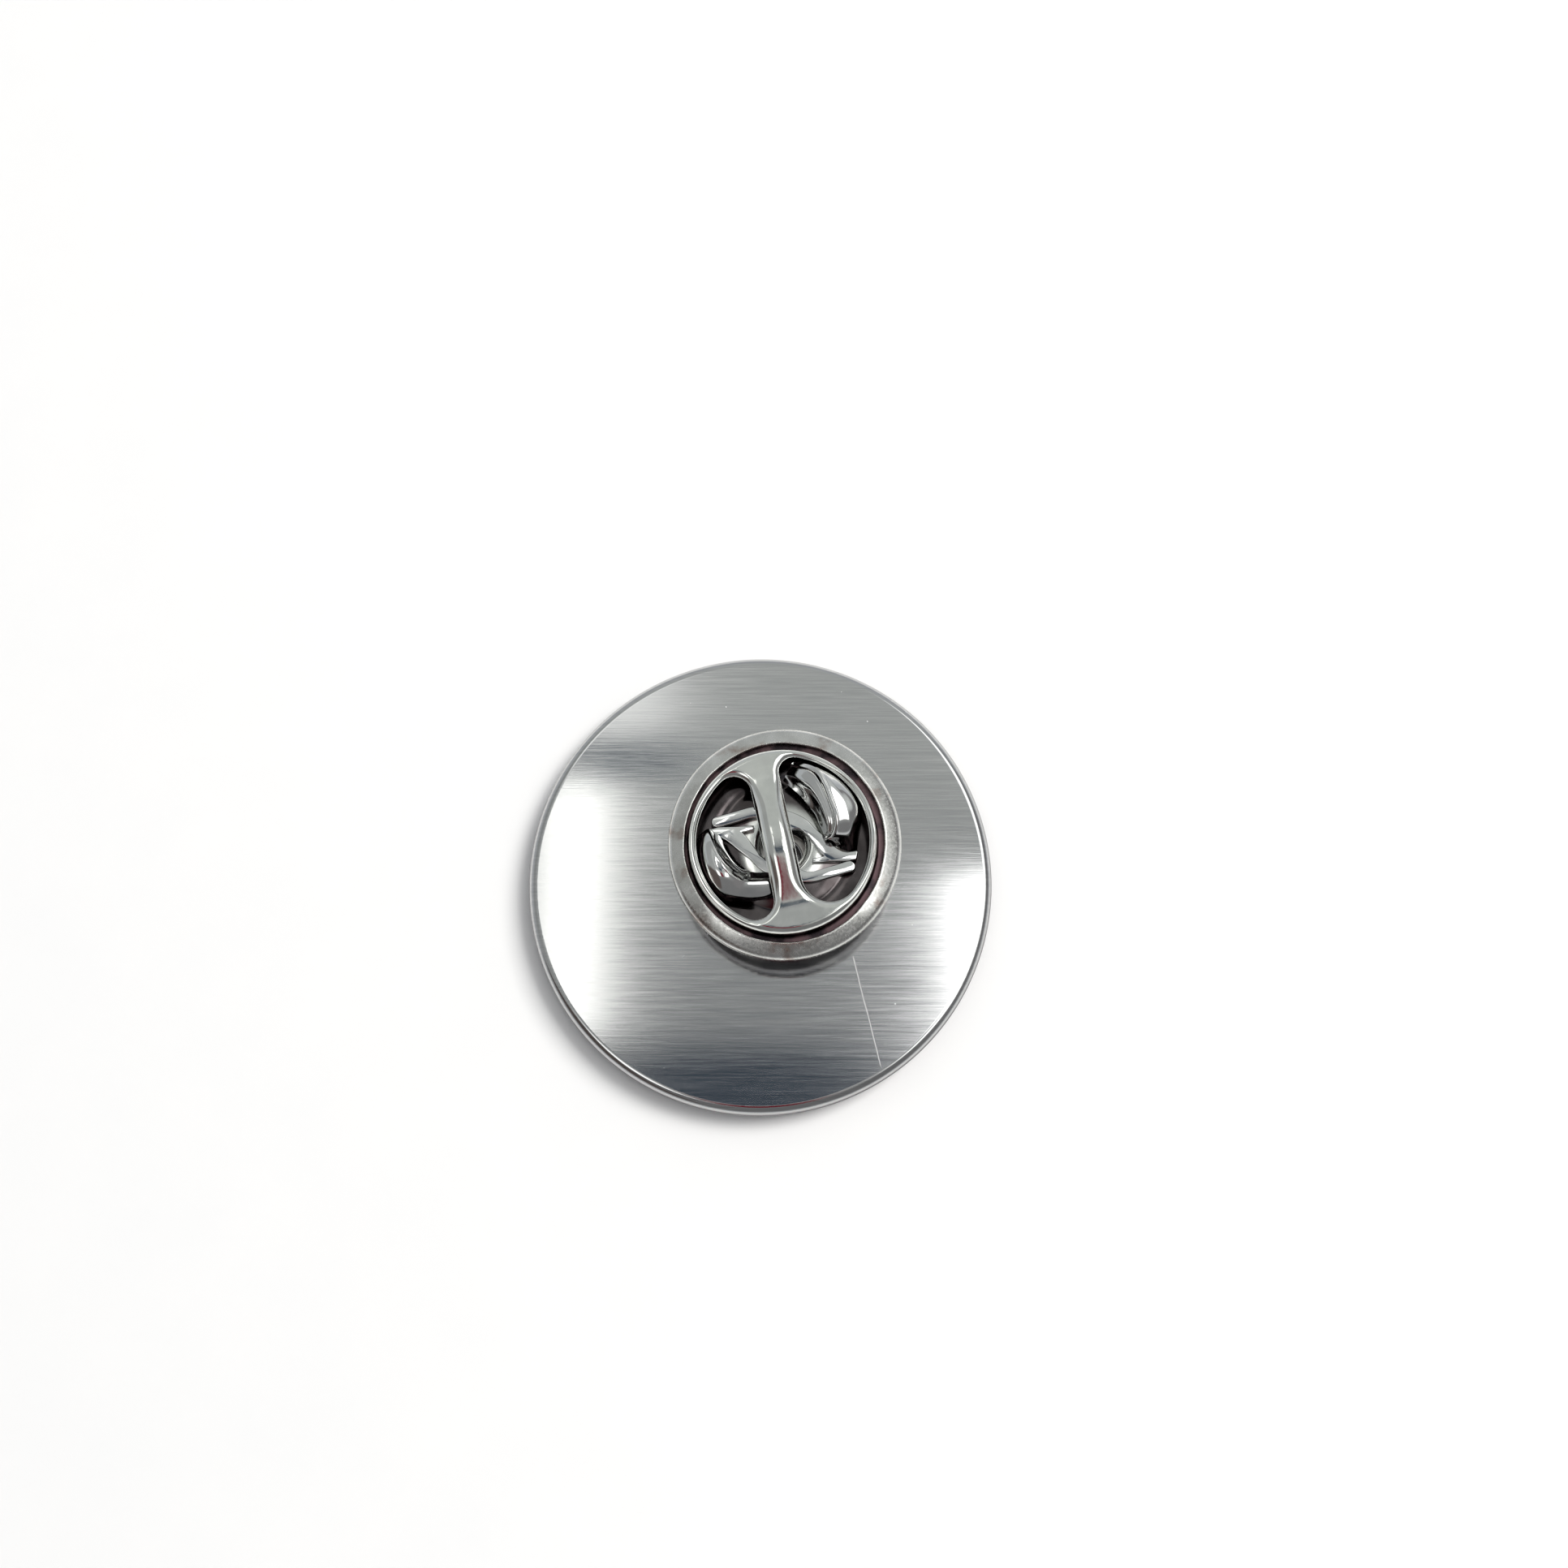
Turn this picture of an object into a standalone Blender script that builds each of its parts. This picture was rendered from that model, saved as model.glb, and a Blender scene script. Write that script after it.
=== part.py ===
"""Round enamel pin with a butterfly clutch, lying face down on its enamelled front.

Frame: origin at the centre of the disc, on the surface that the pin lies on; +Z is up, along the
post and away from the enamel; +X runs along the brushing of the back. The clutch sits part way
up the post, pushed home until the post's tip is just under the bridge.

Every size below is in millimetres. make_object() turns millimetres into metres.
"""

import math

import bpy
from mathutils import Vector

MM = 0.001

# Struck plate
PLATE_RADIUS = 12.5
PLATE_THICKNESS = 1.8
BACK_EDGE_ROUND = 0.5
FRONT_EDGE_ROUND = 0.3
PLATE_SEGMENTS = 72

# Enamel cells in the front face: a hub, eight petals, eight gaps between them and a border
CELL_DEPTH = 0.6
CELL_GAP = 0.02
ENAMEL_RECESS = 0.03
LINE_WIDTH = 0.3
PETALS = 8
HUB_RADIUS = 2.4
PETAL_START = 3.0
PETAL_END = 9.3
PETAL_HALF_WIDTH = 1.75
GAP_CELL_START = 5.2
RING_INNER = 9.95
RING_OUTER = 11.75

# Post, brazed to the back away from the disc's centre
POST_X = 1.3
POST_Y = 1.0
FOOT_RADIUS = 1.0
FOOT_THICKNESS = 0.25
POST_RADIUS = 0.5
POST_LENGTH = 5.15
GROOVE_RADIUS = 0.42
GROOVE_LENGTH = 0.7
TIP_LENGTH = 0.6
TIP_RADIUS = 0.06
FILLET_RADIUS = 1.5
JOINT_GAP = 0.02
POST_SEGMENTS = 24

# Clutch cup: flat floor, rolled wall and crimped rim
CUP_BASE = 4.9
SHEET = 0.28
CUP_HOLE_RADIUS = 1.15
CUP_FLOOR_RADIUS = 4.85
RIM_RADIUS = 6.04
RIM_WIDEST = 5.8
RIM_TOP = 6.3
CRIMP_EDGE_RADIUS = 5.41
CLUTCH_SEGMENTS = 48

# Clutch cap: flange under the crimp, low dome, two openings and the bridge between them
FLANGE_RADIUS = 5.6
FLANGE_BOTTOM = 5.7
CAP_SHEET = 0.25
SHOULDER_RADIUS = 4.78
SHOULDER_TOP = 6.87
DOME_RISE = 0.53
OPENING_RADIUS = 4.38
BRIDGE_LEAN = math.radians(12)
# Each opening: distance of its straight side from the post, and its two corner radii, anticlockwise
RIGHT_OPENING = (0.52, 1.45, 0.75)
LEFT_OPENING = (1.05, 0.9, 0.95)

# Spring: two jaw strips round the post and two finger wings
JAW_BOTTOM = 5.28
JAW_TOP = 5.72
TONGUE_WIDTH = 0.62
ARM_WIDTH = 1.0
JAW_CLEARANCE = 0.04
NOSE_LENGTH = 0.57
NOSE_SPREAD = 0.42
WING_FOOT = 5.76
WING_HEIGHT = 1.5
WING_SHEET = 0.25

PLATED = (0.60, 0.61, 0.59)
DARK_BLUE = (0.02, 0.07, 0.22)
TEAL = (0.02, 0.30, 0.32)
CREAM = (0.86, 0.80, 0.64)
CORAL = (0.78, 0.16, 0.10)


def clear_scene():
    for obj in list(bpy.data.objects):
        bpy.data.objects.remove(obj, do_unlink=True)


def make_material(name, colour, metallic, roughness):
    made = bpy.data.materials.new(name)
    made.use_nodes = True
    shader = made.node_tree.nodes["Principled BSDF"]
    shader.inputs["Base Color"].default_value = (*colour, 1.0)
    shader.inputs["Metallic"].default_value = metallic
    shader.inputs["Roughness"].default_value = roughness
    made.diffuse_color = (*colour, 1.0)
    return made


def make_object(name, points, faces, material, parent=None):
    """An object from points in millimetres, measured from its parent."""
    mesh = bpy.data.meshes.new(name)
    mesh.from_pydata([Vector(p) * MM for p in points], [], faces)
    mesh.validate()
    mesh.shade_smooth()
    mesh.set_sharp_from_angle(angle=math.radians(35))
    mesh.materials.append(material)
    obj = bpy.data.objects.new(name, mesh)
    bpy.context.scene.collection.objects.link(obj)
    obj.parent = parent
    return obj


def arc(centre, radius, start, end, steps):
    """Points of an arc in degrees, its two ends included."""
    angles = [math.radians(start + (end - start) * i / steps) for i in range(steps + 1)]
    return [(centre[0] + radius * math.cos(a), centre[1] + radius * math.sin(a)) for a in angles]


def turned(profile, segments):
    """Points and faces of a closed (radius, height) profile turned about the vertical axis.

    The profile runs up its outer side and comes back down its inner side or its axis.
    """
    points = []
    rings = []
    for radius, height in profile:
        if radius == 0:
            rings.append([len(points)] * segments)
            points.append((0.0, 0.0, height))
            continue
        rings.append(list(range(len(points), len(points) + segments)))
        for i in range(segments):
            angle = 2 * math.pi * i / segments
            points.append((radius * math.cos(angle), radius * math.sin(angle), height))
    faces = []
    for k, low in enumerate(rings):
        high = rings[(k + 1) % len(rings)]
        for i in range(segments):
            j = (i + 1) % segments
            corners = [low[i], low[j], high[j], high[i]]
            face = [c for n, c in enumerate(corners) if c not in corners[:n]]
            if len(face) > 2:
                faces.append(face)
    return points, faces


def prism(outline, bottom, top):
    """Points and faces of an anticlockwise outline raised from bottom to top."""
    count = len(outline)
    points = [(x, y, bottom) for x, y in outline] + [(x, y, top) for x, y in outline]
    sides = [(i, (i + 1) % count, count + (i + 1) % count, count + i) for i in range(count)]
    faces = [tuple(reversed(range(count))), tuple(range(count, 2 * count))]
    return points, faces + sides


def joined(parts):
    """Several (points, faces) pairs as one."""
    points = []
    faces = []
    for part_points, part_faces in parts:
        start = len(points)
        points.extend(part_points)
        faces.extend([[start + i for i in face] for face in part_faces])
    return points, faces


def turn_outline(outline, angle):
    cos, sin = math.cos(angle), math.sin(angle)
    return [(x * cos - y * sin, x * sin + y * cos) for x, y in outline]


def cut(obj, points, faces, material):
    """Takes a closed cutter away from an object."""
    cutter = make_object(obj.name + "_cutter", points, faces, material, obj.parent)
    cutter.hide_render = True
    cutter.display_type = "WIRE"
    modifier = obj.modifiers.new("cut", "BOOLEAN")
    modifier.operation = "DIFFERENCE"
    modifier.solver = "EXACT"
    modifier.object = cutter


def smooth_path(knots, steps):
    """Points of a Catmull-Rom curve through knots of any number of values each."""
    ends = [[2 * a - b for a, b in zip(knots[0], knots[1])]]
    ends += [list(k) for k in knots]
    ends += [[2 * a - b for a, b in zip(knots[-1], knots[-2])]]
    path = []
    for k in range(1, len(ends) - 2):
        for i in range(steps):
            t = i / steps
            path.append([
                0.5 * (2 * b + (c - a) * t + (2 * a - 5 * b + 4 * c - d) * t**2
                       + (3 * b - a - 3 * c + d) * t**3)
                for a, b, c, d in zip(*ends[k - 1 : k + 3])
            ])
    return path + [list(knots[-1])]


def left_normals(path):
    """Unit vectors to the left of each point of a path, seen from above."""
    normals = []
    for i in range(len(path)):
        before = path[max(i - 1, 0)]
        after = path[min(i + 1, len(path) - 1)]
        along = Vector((after[0] - before[0], after[1] - before[1])).normalized()
        normals.append((-along.y, along.x))
    return normals


# Front face cells


def petal_half_width(radius, extra=0.0):
    part = (radius - PETAL_START) / (PETAL_END - PETAL_START)
    return PETAL_HALF_WIDTH * math.sin(math.pi * min(max(part, 0.0), 1.0)) ** 0.85 + extra


def petal_outline(grow):
    """A petal along +X, pointed at both ends, grown outwards by a gap."""
    steps = 9
    edge = []
    for i in range(1, steps):
        radius = PETAL_START + (PETAL_END - PETAL_START) * i / steps
        edge.append((radius, petal_half_width(radius, grow)))
    lower = [(x, -y) for x, y in edge]
    return [(PETAL_START - grow, 0.0)] + lower + [(PETAL_END + grow, 0.0)] + edge[::-1]


def gap_outline(grow):
    """The cell between two petals, symmetric about +X, grown outwards by a gap."""
    steps = 6
    half_pitch = math.pi / PETALS
    outer = RING_INNER - LINE_WIDTH - 0.05
    lower = []
    for i in range(steps + 1):
        radius = GAP_CELL_START + (outer - GAP_CELL_START) * i / steps
        taken = math.asin((petal_half_width(radius, LINE_WIDTH) - grow) / radius)
        angle = half_pitch - taken
        reach = radius + (grow if i == steps else 0.0)
        lower.append((reach * math.cos(angle), -reach * math.sin(angle)))
    tip = (GAP_CELL_START - 0.5 - grow, 0.0)
    end_angle = math.degrees(math.atan2(lower[-1][1], lower[-1][0]))
    rim = arc((0, 0), outer + grow, end_angle, -end_angle, 4)[1:-1]
    return [tip] + lower + rim + [(x, -y) for x, y in reversed(lower)]


def disc_outline(radius, segments):
    return arc((0, 0), radius, 0, 360, segments)[:-1]


def cell_bodies(grow, bottom, top):
    """Name and (points, faces) of each enamel cell."""
    cells = {"enamel_hub": prism(disc_outline(HUB_RADIUS + grow, 24), bottom, top)}
    for i in range(PETALS):
        turn = 2 * math.pi * i / PETALS
        half = turn + math.pi / PETALS
        cells[f"enamel_petal_{i + 1}"] = prism(turn_outline(petal_outline(grow), turn), bottom, top)
        cells[f"enamel_gap_{i + 1}"] = prism(turn_outline(gap_outline(grow), half), bottom, top)
    outer, inner = RING_OUTER + grow, RING_INNER - grow
    ring = [(outer, bottom), (outer, top), (inner, top), (inner, bottom)]
    cells["enamel_ring"] = turned(ring, PLATE_SEGMENTS)
    return cells


def make_plate(metal):
    """The struck disc: rounded edges, a flat brushed back, and cells sunk into the front."""
    widest = PLATE_RADIUS
    back = arc((widest - BACK_EDGE_ROUND, PLATE_THICKNESS - BACK_EDGE_ROUND), BACK_EDGE_ROUND, 0, 90, 4)
    front = arc((widest - FRONT_EDGE_ROUND, FRONT_EDGE_ROUND), FRONT_EDGE_ROUND, -90, 0, 3)
    profile = [(0, 0)] + front + back + [(0, PLATE_THICKNESS)]
    plate = make_object("plate", *turned(profile, PLATE_SEGMENTS), metal)
    cutters = cell_bodies(CELL_GAP, -0.5, CELL_DEPTH)
    cut(plate, *joined(cutters.values()), metal)


def make_enamels(colours):
    for name, body in cell_bodies(0.0, ENAMEL_RECESS, CELL_DEPTH - CELL_GAP).items():
        kind = name.split("_")[1]
        make_object(name, *body, colours[kind])


# Post


def make_post(metal, parent):
    """A nail with a foot on the plate, a groove for the jaws and a blunt point."""
    foot = PLATE_THICKNESS + JOINT_GAP
    tip = PLATE_THICKNESS + POST_LENGTH
    neck = tip - TIP_LENGTH
    groove = (JAW_BOTTOM + JAW_TOP) / 2
    ramp = POST_RADIUS - GROOVE_RADIUS
    profile = [
        (0, foot),
        (FOOT_RADIUS, foot),
        (FOOT_RADIUS, foot + FOOT_THICKNESS),
        (POST_RADIUS, foot + FOOT_THICKNESS),
        (POST_RADIUS, groove - GROOVE_LENGTH / 2 - ramp),
        (GROOVE_RADIUS, groove - GROOVE_LENGTH / 2),
        (GROOVE_RADIUS, groove + GROOVE_LENGTH / 2),
        (POST_RADIUS, groove + GROOVE_LENGTH / 2 + ramp),
        (POST_RADIUS, neck),
        (POST_RADIUS * 0.72, neck + TIP_LENGTH * 0.45),
        (TIP_RADIUS, tip),
        (0, tip),
    ]
    make_object("post", *turned(profile, POST_SEGMENTS), metal, parent)


def make_braze(metal, parent):
    """The concave bead of braze round the foot."""
    low = PLATE_THICKNESS + JOINT_GAP
    inner = FOOT_RADIUS + JOINT_GAP
    height = FOOT_THICKNESS * 0.9
    width = FILLET_RADIUS - inner
    outer = [(inner + width * (1 - math.sin(a)), low + height * (1 - math.cos(a)) + 0.03)
             for a in (math.radians(d) for d in (0, 30, 60, 90))]
    profile = [(inner, low), (FILLET_RADIUS, low)] + outer
    make_object("braze_fillet", *turned(profile, POST_SEGMENTS), metal, parent)


# Clutch cup and cap


def make_cup(metal, parent):
    """The floor with its hole, the rolled wall, and the rim crimped over the cap's flange."""
    floor = CUP_BASE + SHEET
    roll = RIM_TOP - RIM_WIDEST
    outer = [(CUP_FLOOR_RADIUS, CUP_BASE)]
    reach = RIM_RADIUS - CUP_FLOOR_RADIUS
    rise = RIM_WIDEST - CUP_BASE
    for degrees in (22, 45, 68, 90):
        a = math.radians(degrees)
        outer.append((CUP_FLOOR_RADIUS + reach * math.sin(a), CUP_BASE + rise * (1 - math.cos(a))))
    outer += arc((RIM_RADIUS - roll, RIM_WIDEST), roll, 30, 90, 2)
    outer.append((CRIMP_EDGE_RADIUS + 0.03, RIM_TOP - 0.05))
    inner = [(CRIMP_EDGE_RADIUS, RIM_TOP - SHEET)]
    inner += arc((RIM_RADIUS - roll, RIM_WIDEST), roll - SHEET, 90, 0, 3)
    for degrees in (68, 45, 22):
        a = math.radians(degrees)
        inner.append((CUP_FLOOR_RADIUS + (reach - SHEET) * math.sin(a),
                      floor + (rise - SHEET) * (1 - math.cos(a))))
    inner.append((CUP_FLOOR_RADIUS, floor))
    profile = [(CUP_HOLE_RADIUS, CUP_BASE)] + outer + inner + [(CUP_HOLE_RADIUS, floor)]
    make_object("clutch_cup", *turned(profile, CLUTCH_SEGMENTS), metal, parent)


def dome_height(radius):
    return SHOULDER_TOP + DOME_RISE * (1 - (radius / OPENING_RADIUS) ** 2)


def opening_outline(side, first_corner, last_corner):
    """An opening to the right of the bridge: a straight side, two round corners and an outer arc."""
    corners = []
    touches = []
    for radius, way in ((first_corner, -1), (last_corner, 1)):
        # The corner touches the straight side and, from inside, the outer arc.
        centre_x = side + radius
        centre_y = way * math.sqrt((OPENING_RADIUS - radius) ** 2 - centre_x**2)
        touch = math.degrees(math.atan2(centre_y, centre_x))
        corners.append(arc((centre_x, centre_y), radius, 180 * way, touch, 6))
        touches.append(touch)
    outer = arc((0, 0), OPENING_RADIUS, *touches, 12)[1:-1]
    return corners[0] + outer + corners[1][::-1]


def make_cap(metal, parent):
    """One stamping: flange, wall, shoulder and low dome, with the bridge left between two openings."""
    flange_top = FLANGE_BOTTOM + CAP_SHEET
    wall = SHOULDER_RADIUS
    bend = 0.4
    outer = [(FLANGE_RADIUS, FLANGE_BOTTOM), (FLANGE_RADIUS, flange_top), (wall + 0.16, flange_top)]
    outer += [(wall + 0.02, flange_top + 0.16)]
    outer += arc((wall - bend, SHOULDER_TOP - bend), bend, 0, 90, 3)
    outer += [(r, dome_height(r)) for r in (3.2, 2.0, 1.0)]
    inner = [(r, dome_height(r) - CAP_SHEET) for r in (1.0, 2.0, 3.2)]
    inner += arc((wall - bend, SHOULDER_TOP - bend), bend - CAP_SHEET, 90, 0, 2)
    inner += [(wall - CAP_SHEET, FLANGE_BOTTOM)]
    middle = [(0, dome_height(0)), (0, dome_height(0) - CAP_SHEET)]
    profile = outer + middle + inner
    cap = make_object("clutch_cap", *turned(profile, CLUTCH_SEGMENTS), metal, parent)
    right = turn_outline(opening_outline(*RIGHT_OPENING), BRIDGE_LEAN)
    left = turn_outline(opening_outline(*LEFT_OPENING), BRIDGE_LEAN + math.pi)
    low, high = FLANGE_BOTTOM - 1.0, SHOULDER_TOP + 2.0
    cut(cap, *joined([prism(right, low, high), prism(left, low, high)]), metal)


# Spring


def jaw_outline():
    """The upper jaw strip: a round-ended tongue on the left, a nose at the post, an arm to the right."""
    knots = [
        (-3.45, 1.22, TONGUE_WIDTH),
        (-2.1, 1.42, TONGUE_WIDTH),
        (-0.8, 1.50, TONGUE_WIDTH),
        (0.35, 1.42, 0.72),
        (1.35, 0.80, 0.92),
        (2.3, 0.15, ARM_WIDTH),
        (3.3, -0.45, ARM_WIDTH),
    ]
    path = smooth_path(knots, 4)
    outer = []
    inner = []
    for (x, y, width), (nx, ny) in zip(path, left_normals(path)):
        outer.append((x + nx * width / 2, y + ny * width / 2))
        nose = NOSE_LENGTH * math.exp(-((x + 0.1) / NOSE_SPREAD) ** 2)
        reach = width / 2 + nose
        px, py = x - nx * reach, y - ny * reach
        keep = POST_RADIUS + JAW_CLEARANCE
        far = math.hypot(px, py)
        grow = max(keep / far, 1.0)
        inner.append((px * grow, py * grow))
    x, y, width = path[0]
    nx, ny = left_normals(path)[0]
    facing = math.degrees(math.atan2(ny, nx))
    tongue = arc((x, y), width / 2, facing, facing + 180, 6)[1:-1]
    return tongue + inner + outer[::-1]


def make_jaws(metal, parent):
    upper = jaw_outline()
    lower = turn_outline(upper, math.pi)
    make_object("jaw_upper", *prism(upper, JAW_BOTTOM, JAW_TOP), metal, parent)
    make_object("jaw_lower", *prism(lower, JAW_BOTTOM, JAW_TOP), metal, parent)


def wing_section(width_out, width_in, height):
    """The folded sheet across a wing: (distance outwards, height) pairs, the outer skin first."""
    t = WING_SHEET
    outer = [
        (width_out, 0.0),
        (width_out * 0.72, height * 0.55),
        (0.12, height * 0.96),
        (-0.10, height),
        (-0.26, height * 0.86),
        (-width_in * 0.55, height * 0.36),
        (-width_in, 0.0),
    ]
    inner = [
        (-width_in + t * 1.3, 0.0),
        (-width_in * 0.55 + t * 0.9, height * 0.36 - t * 0.4),
        (-0.06, height * 0.86 - t * 1.2),
        (0.04, height * 0.86 - t * 1.2),
        (width_out * 0.72 - t, height * 0.55 - t * 0.5),
        (width_out - t, 0.0),
    ]
    return outer + inner


def wing_body(knots):
    """A wing swept along its crest. Each knot is x, y, outer width, inner width, height."""
    path = smooth_path(knots, 4)
    points = []
    faces = []
    count = 0
    for (x, y, width_out, width_in, height), (nx, ny) in zip(path, left_normals(path)):
        section = wing_section(width_out, width_in, height)
        count = len(section)
        points += [(x + nx * d, y + ny * d, WING_FOOT + z) for d, z in section]
    for k in range(len(path) - 1):
        low, high = k * count, (k + 1) * count
        for i in range(count):
            j = (i + 1) % count
            faces.append((low + i, low + j, high + j, high + i))
    faces.append(tuple(reversed(range(count))))
    faces.append(tuple(range((len(path) - 1) * count, len(path) * count)))
    return points, faces


def make_wings(metal, parent):
    """The two finger wings. Hand-bent, so each has its own crest line."""
    tall = WING_HEIGHT
    right = [
        (2.45, 0.15, 0.62, 0.62, tall * 0.62),
        (2.78, 0.75, 0.95, 0.85, tall * 0.9),
        (2.72, 1.75, 1.10, 1.10, tall),
        (2.30, 2.80, 0.95, 1.15, tall),
        (1.55, 3.45, 0.55, 0.95, tall * 0.85),
    ]
    left = [
        (-3.20, -0.10, 0.70, 0.62, tall * 0.62),
        (-3.25, -0.85, 0.80, 0.75, tall * 0.9),
        (-2.90, -1.65, 0.95, 0.80, tall),
        (-2.20, -2.20, 0.95, 0.75, tall),
        (-1.30, -2.50, 0.80, 0.62, tall * 0.85),
    ]
    # Each crest runs so that the outside of the clutch is on its left.
    make_object("wing_right", *wing_body(right[::-1]), metal, parent)
    make_object("wing_left", *wing_body(left[::-1]), metal, parent)


def main():
    clear_scene()
    plated = make_material("plated_metal", PLATED, 1.0, 0.3)
    bright = make_material("bright_nickel", PLATED, 1.0, 0.15)
    colours = {
        "hub": make_material("enamel_cream", CREAM, 0.0, 0.12),
        "petal": make_material("enamel_coral", CORAL, 0.0, 0.12),
        "gap": make_material("enamel_teal", TEAL, 0.0, 0.12),
        "ring": make_material("enamel_blue", DARK_BLUE, 0.0, 0.12),
    }
    axis = bpy.data.objects.new("clutch_axis", None)
    axis.location = (POST_X * MM, POST_Y * MM, 0.0)
    bpy.context.scene.collection.objects.link(axis)
    make_plate(plated)
    make_enamels(colours)
    make_post(bright, axis)
    make_braze(plated, axis)
    make_cup(bright, axis)
    make_cap(bright, axis)
    make_jaws(bright, axis)
    make_wings(bright, axis)


main()
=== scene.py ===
"""The finished look of a round enamel pin, lying face down with its butterfly clutch on the post.

Fine meshes stand for the plain CAD solids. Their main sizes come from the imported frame, and the rest
are named below. Lengths are in millimetres, and new_mesh() turns them into metres. The clutch's parts
are worked out around the post's axis, and on_axis() moves them onto it.
"""

import math

import bmesh
import bpy
import numpy as np
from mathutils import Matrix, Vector, noise
from mathutils.geometry import delaunay_2d_cdt


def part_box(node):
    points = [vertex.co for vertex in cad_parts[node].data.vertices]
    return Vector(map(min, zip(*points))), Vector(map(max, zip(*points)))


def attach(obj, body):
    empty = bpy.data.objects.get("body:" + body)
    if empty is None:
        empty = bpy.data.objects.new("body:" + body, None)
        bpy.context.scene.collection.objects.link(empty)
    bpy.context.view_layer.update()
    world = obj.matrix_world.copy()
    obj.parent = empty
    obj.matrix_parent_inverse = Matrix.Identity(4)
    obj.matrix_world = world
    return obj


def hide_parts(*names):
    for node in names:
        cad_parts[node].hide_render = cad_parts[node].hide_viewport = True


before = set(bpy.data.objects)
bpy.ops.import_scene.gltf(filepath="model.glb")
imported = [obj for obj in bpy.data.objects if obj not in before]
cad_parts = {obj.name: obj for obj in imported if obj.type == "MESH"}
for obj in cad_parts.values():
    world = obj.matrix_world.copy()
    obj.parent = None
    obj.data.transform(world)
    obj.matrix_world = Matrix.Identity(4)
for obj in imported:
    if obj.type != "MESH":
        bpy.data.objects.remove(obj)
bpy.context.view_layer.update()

MM = 0.001


def box_of(node):
    """A CAD node's low and high corners in millimetres."""
    low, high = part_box(node)
    return low / MM, high / MM


# Sizes taken from the frame

plate_high = box_of("plate")[1]
PLATE_RADIUS = plate_high.x
PLATE_TOP = plate_high.z
post_low, post_high = box_of("post")
AXIS = (post_low + post_high) / 2
POST_FOOT = post_low.z
POST_TIP = post_high.z
FOOT_RADIUS = (post_high.x - post_low.x) / 2
cup_low, cup_high = box_of("clutch_cup")
CUP_BASE = cup_low.z
RIM_TOP = cup_high.z
RIM_RADIUS = (cup_high.x - cup_low.x) / 2
cap_low, cap_high = box_of("clutch_cap")
FLANGE_BOTTOM = cap_low.z
FLANGE_RADIUS = (cap_high.x - cap_low.x) / 2
BRIDGE_TOP = cap_high.z
jaw_low, jaw_high = box_of("jaw_upper")
JAW_BOTTOM = jaw_low.z
JAW_TOP = jaw_high.z
hub_low, hub_high = box_of("enamel_hub")
HUB_RADIUS = hub_high.x
ENAMEL_FACE = hub_low.z
ENAMEL_BACK = hub_high.z
ring_high = box_of("enamel_ring")[1]
RING_OUTER = ring_high.x
petal_low, petal_high = box_of("enamel_petal_1")
PETAL_START = petal_low.x
PETAL_END = petal_high.x
PETAL_HALF_WIDTH = petal_high.y

# Plate and its enamel
BACK_EDGE = 0.5
FRONT_EDGE = 0.3
CELL_GAP = 0.02
LINE_WIDTH = 0.3
RING_INNER = 9.95
GAP_CELL_START = 5.2
PETALS = 8
ROUND_SEGMENTS = 320
MAP_WIDTH = 50

# Post
POST_RADIUS = 0.5
FOOT_THICKNESS = 0.25
GROOVE_RADIUS = 0.42
GROOVE_REACH = 0.35
BRAZE_RADIUS = 1.5

# Clutch cup
SHEET = 0.28
HOLE_RADIUS = 1.15
HOLE_LIP = 1.5
FLOOR_RADIUS = 4.85
FLOOR_HILL = 0.16
RIM_WIDEST = 5.8
CRIMP_RADIUS = 5.16
RIM_SHIFT = (0.08, 0.04)
RIM_SQUASH = 0.012
RIM_FALL = 0.72
SATIN_FROM = 5.5

# Clutch cap
CAP_SHEET = 0.25
CAP_SKIN = 0.18
SHOULDER_RADIUS = 4.78
SHOULDER_ROUND = 0.36
RING_LEVEL = 6.87
STRAP_REACH = 3.55
STRAP_ROLL = (0.62, 0.42)
RING_ROLL = (0.34, 0.16)
GROOVE_TOP = 6.45
OPENING_RADIUS = 4.38
BRIDGE_LEAN = math.radians(12)
RIGHT_OPENING = (0.52, 1.45, 0.75)
LEFT_OPENING = (1.05, 0.9, 0.95)

# Spring
SPRING_SHEET = 0.2
JAW_LIFT = 0.1
JAW_CLEARANCE = 0.04
WING_STEPS = (10, 8)
WING_SMOOTHING = 40


# Geometry helpers


def arc(centre, radius, start, end, steps):
    """Points of an arc in degrees, its two ends included."""
    angles = np.radians(np.linspace(start, end, steps + 1))
    return [(centre[0] + radius * math.cos(a), centre[1] + radius * math.sin(a)) for a in angles]


def smooth_path(knots, steps, closed=False):
    """Points of a Catmull-Rom curve through knots of any number of values each."""
    knots = [np.array(k, float) for k in knots]
    if closed:
        ends = [knots[-1], *knots, knots[0], knots[1]]
    else:
        ends = [2 * knots[0] - knots[1], *knots, 2 * knots[-1] - knots[-2]]
    path = []
    for k in range(1, len(ends) - 2):
        a, b, c, d = ends[k - 1 : k + 3]
        for t in np.arange(steps) / steps:
            path.append(0.5 * (2 * b + (c - a) * t + (2 * a - 5 * b + 4 * c - d) * t**2
                               + (3 * b - a - 3 * c + d) * t**3))
    return np.array(path if closed else [*path, knots[-1]])


def turn_outline(outline, angle):
    """An outline turned about the origin by an angle in radians."""
    cos, sin = math.cos(angle), math.sin(angle)
    return [(x * cos - y * sin, x * sin + y * cos) for x, y in outline]


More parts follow.
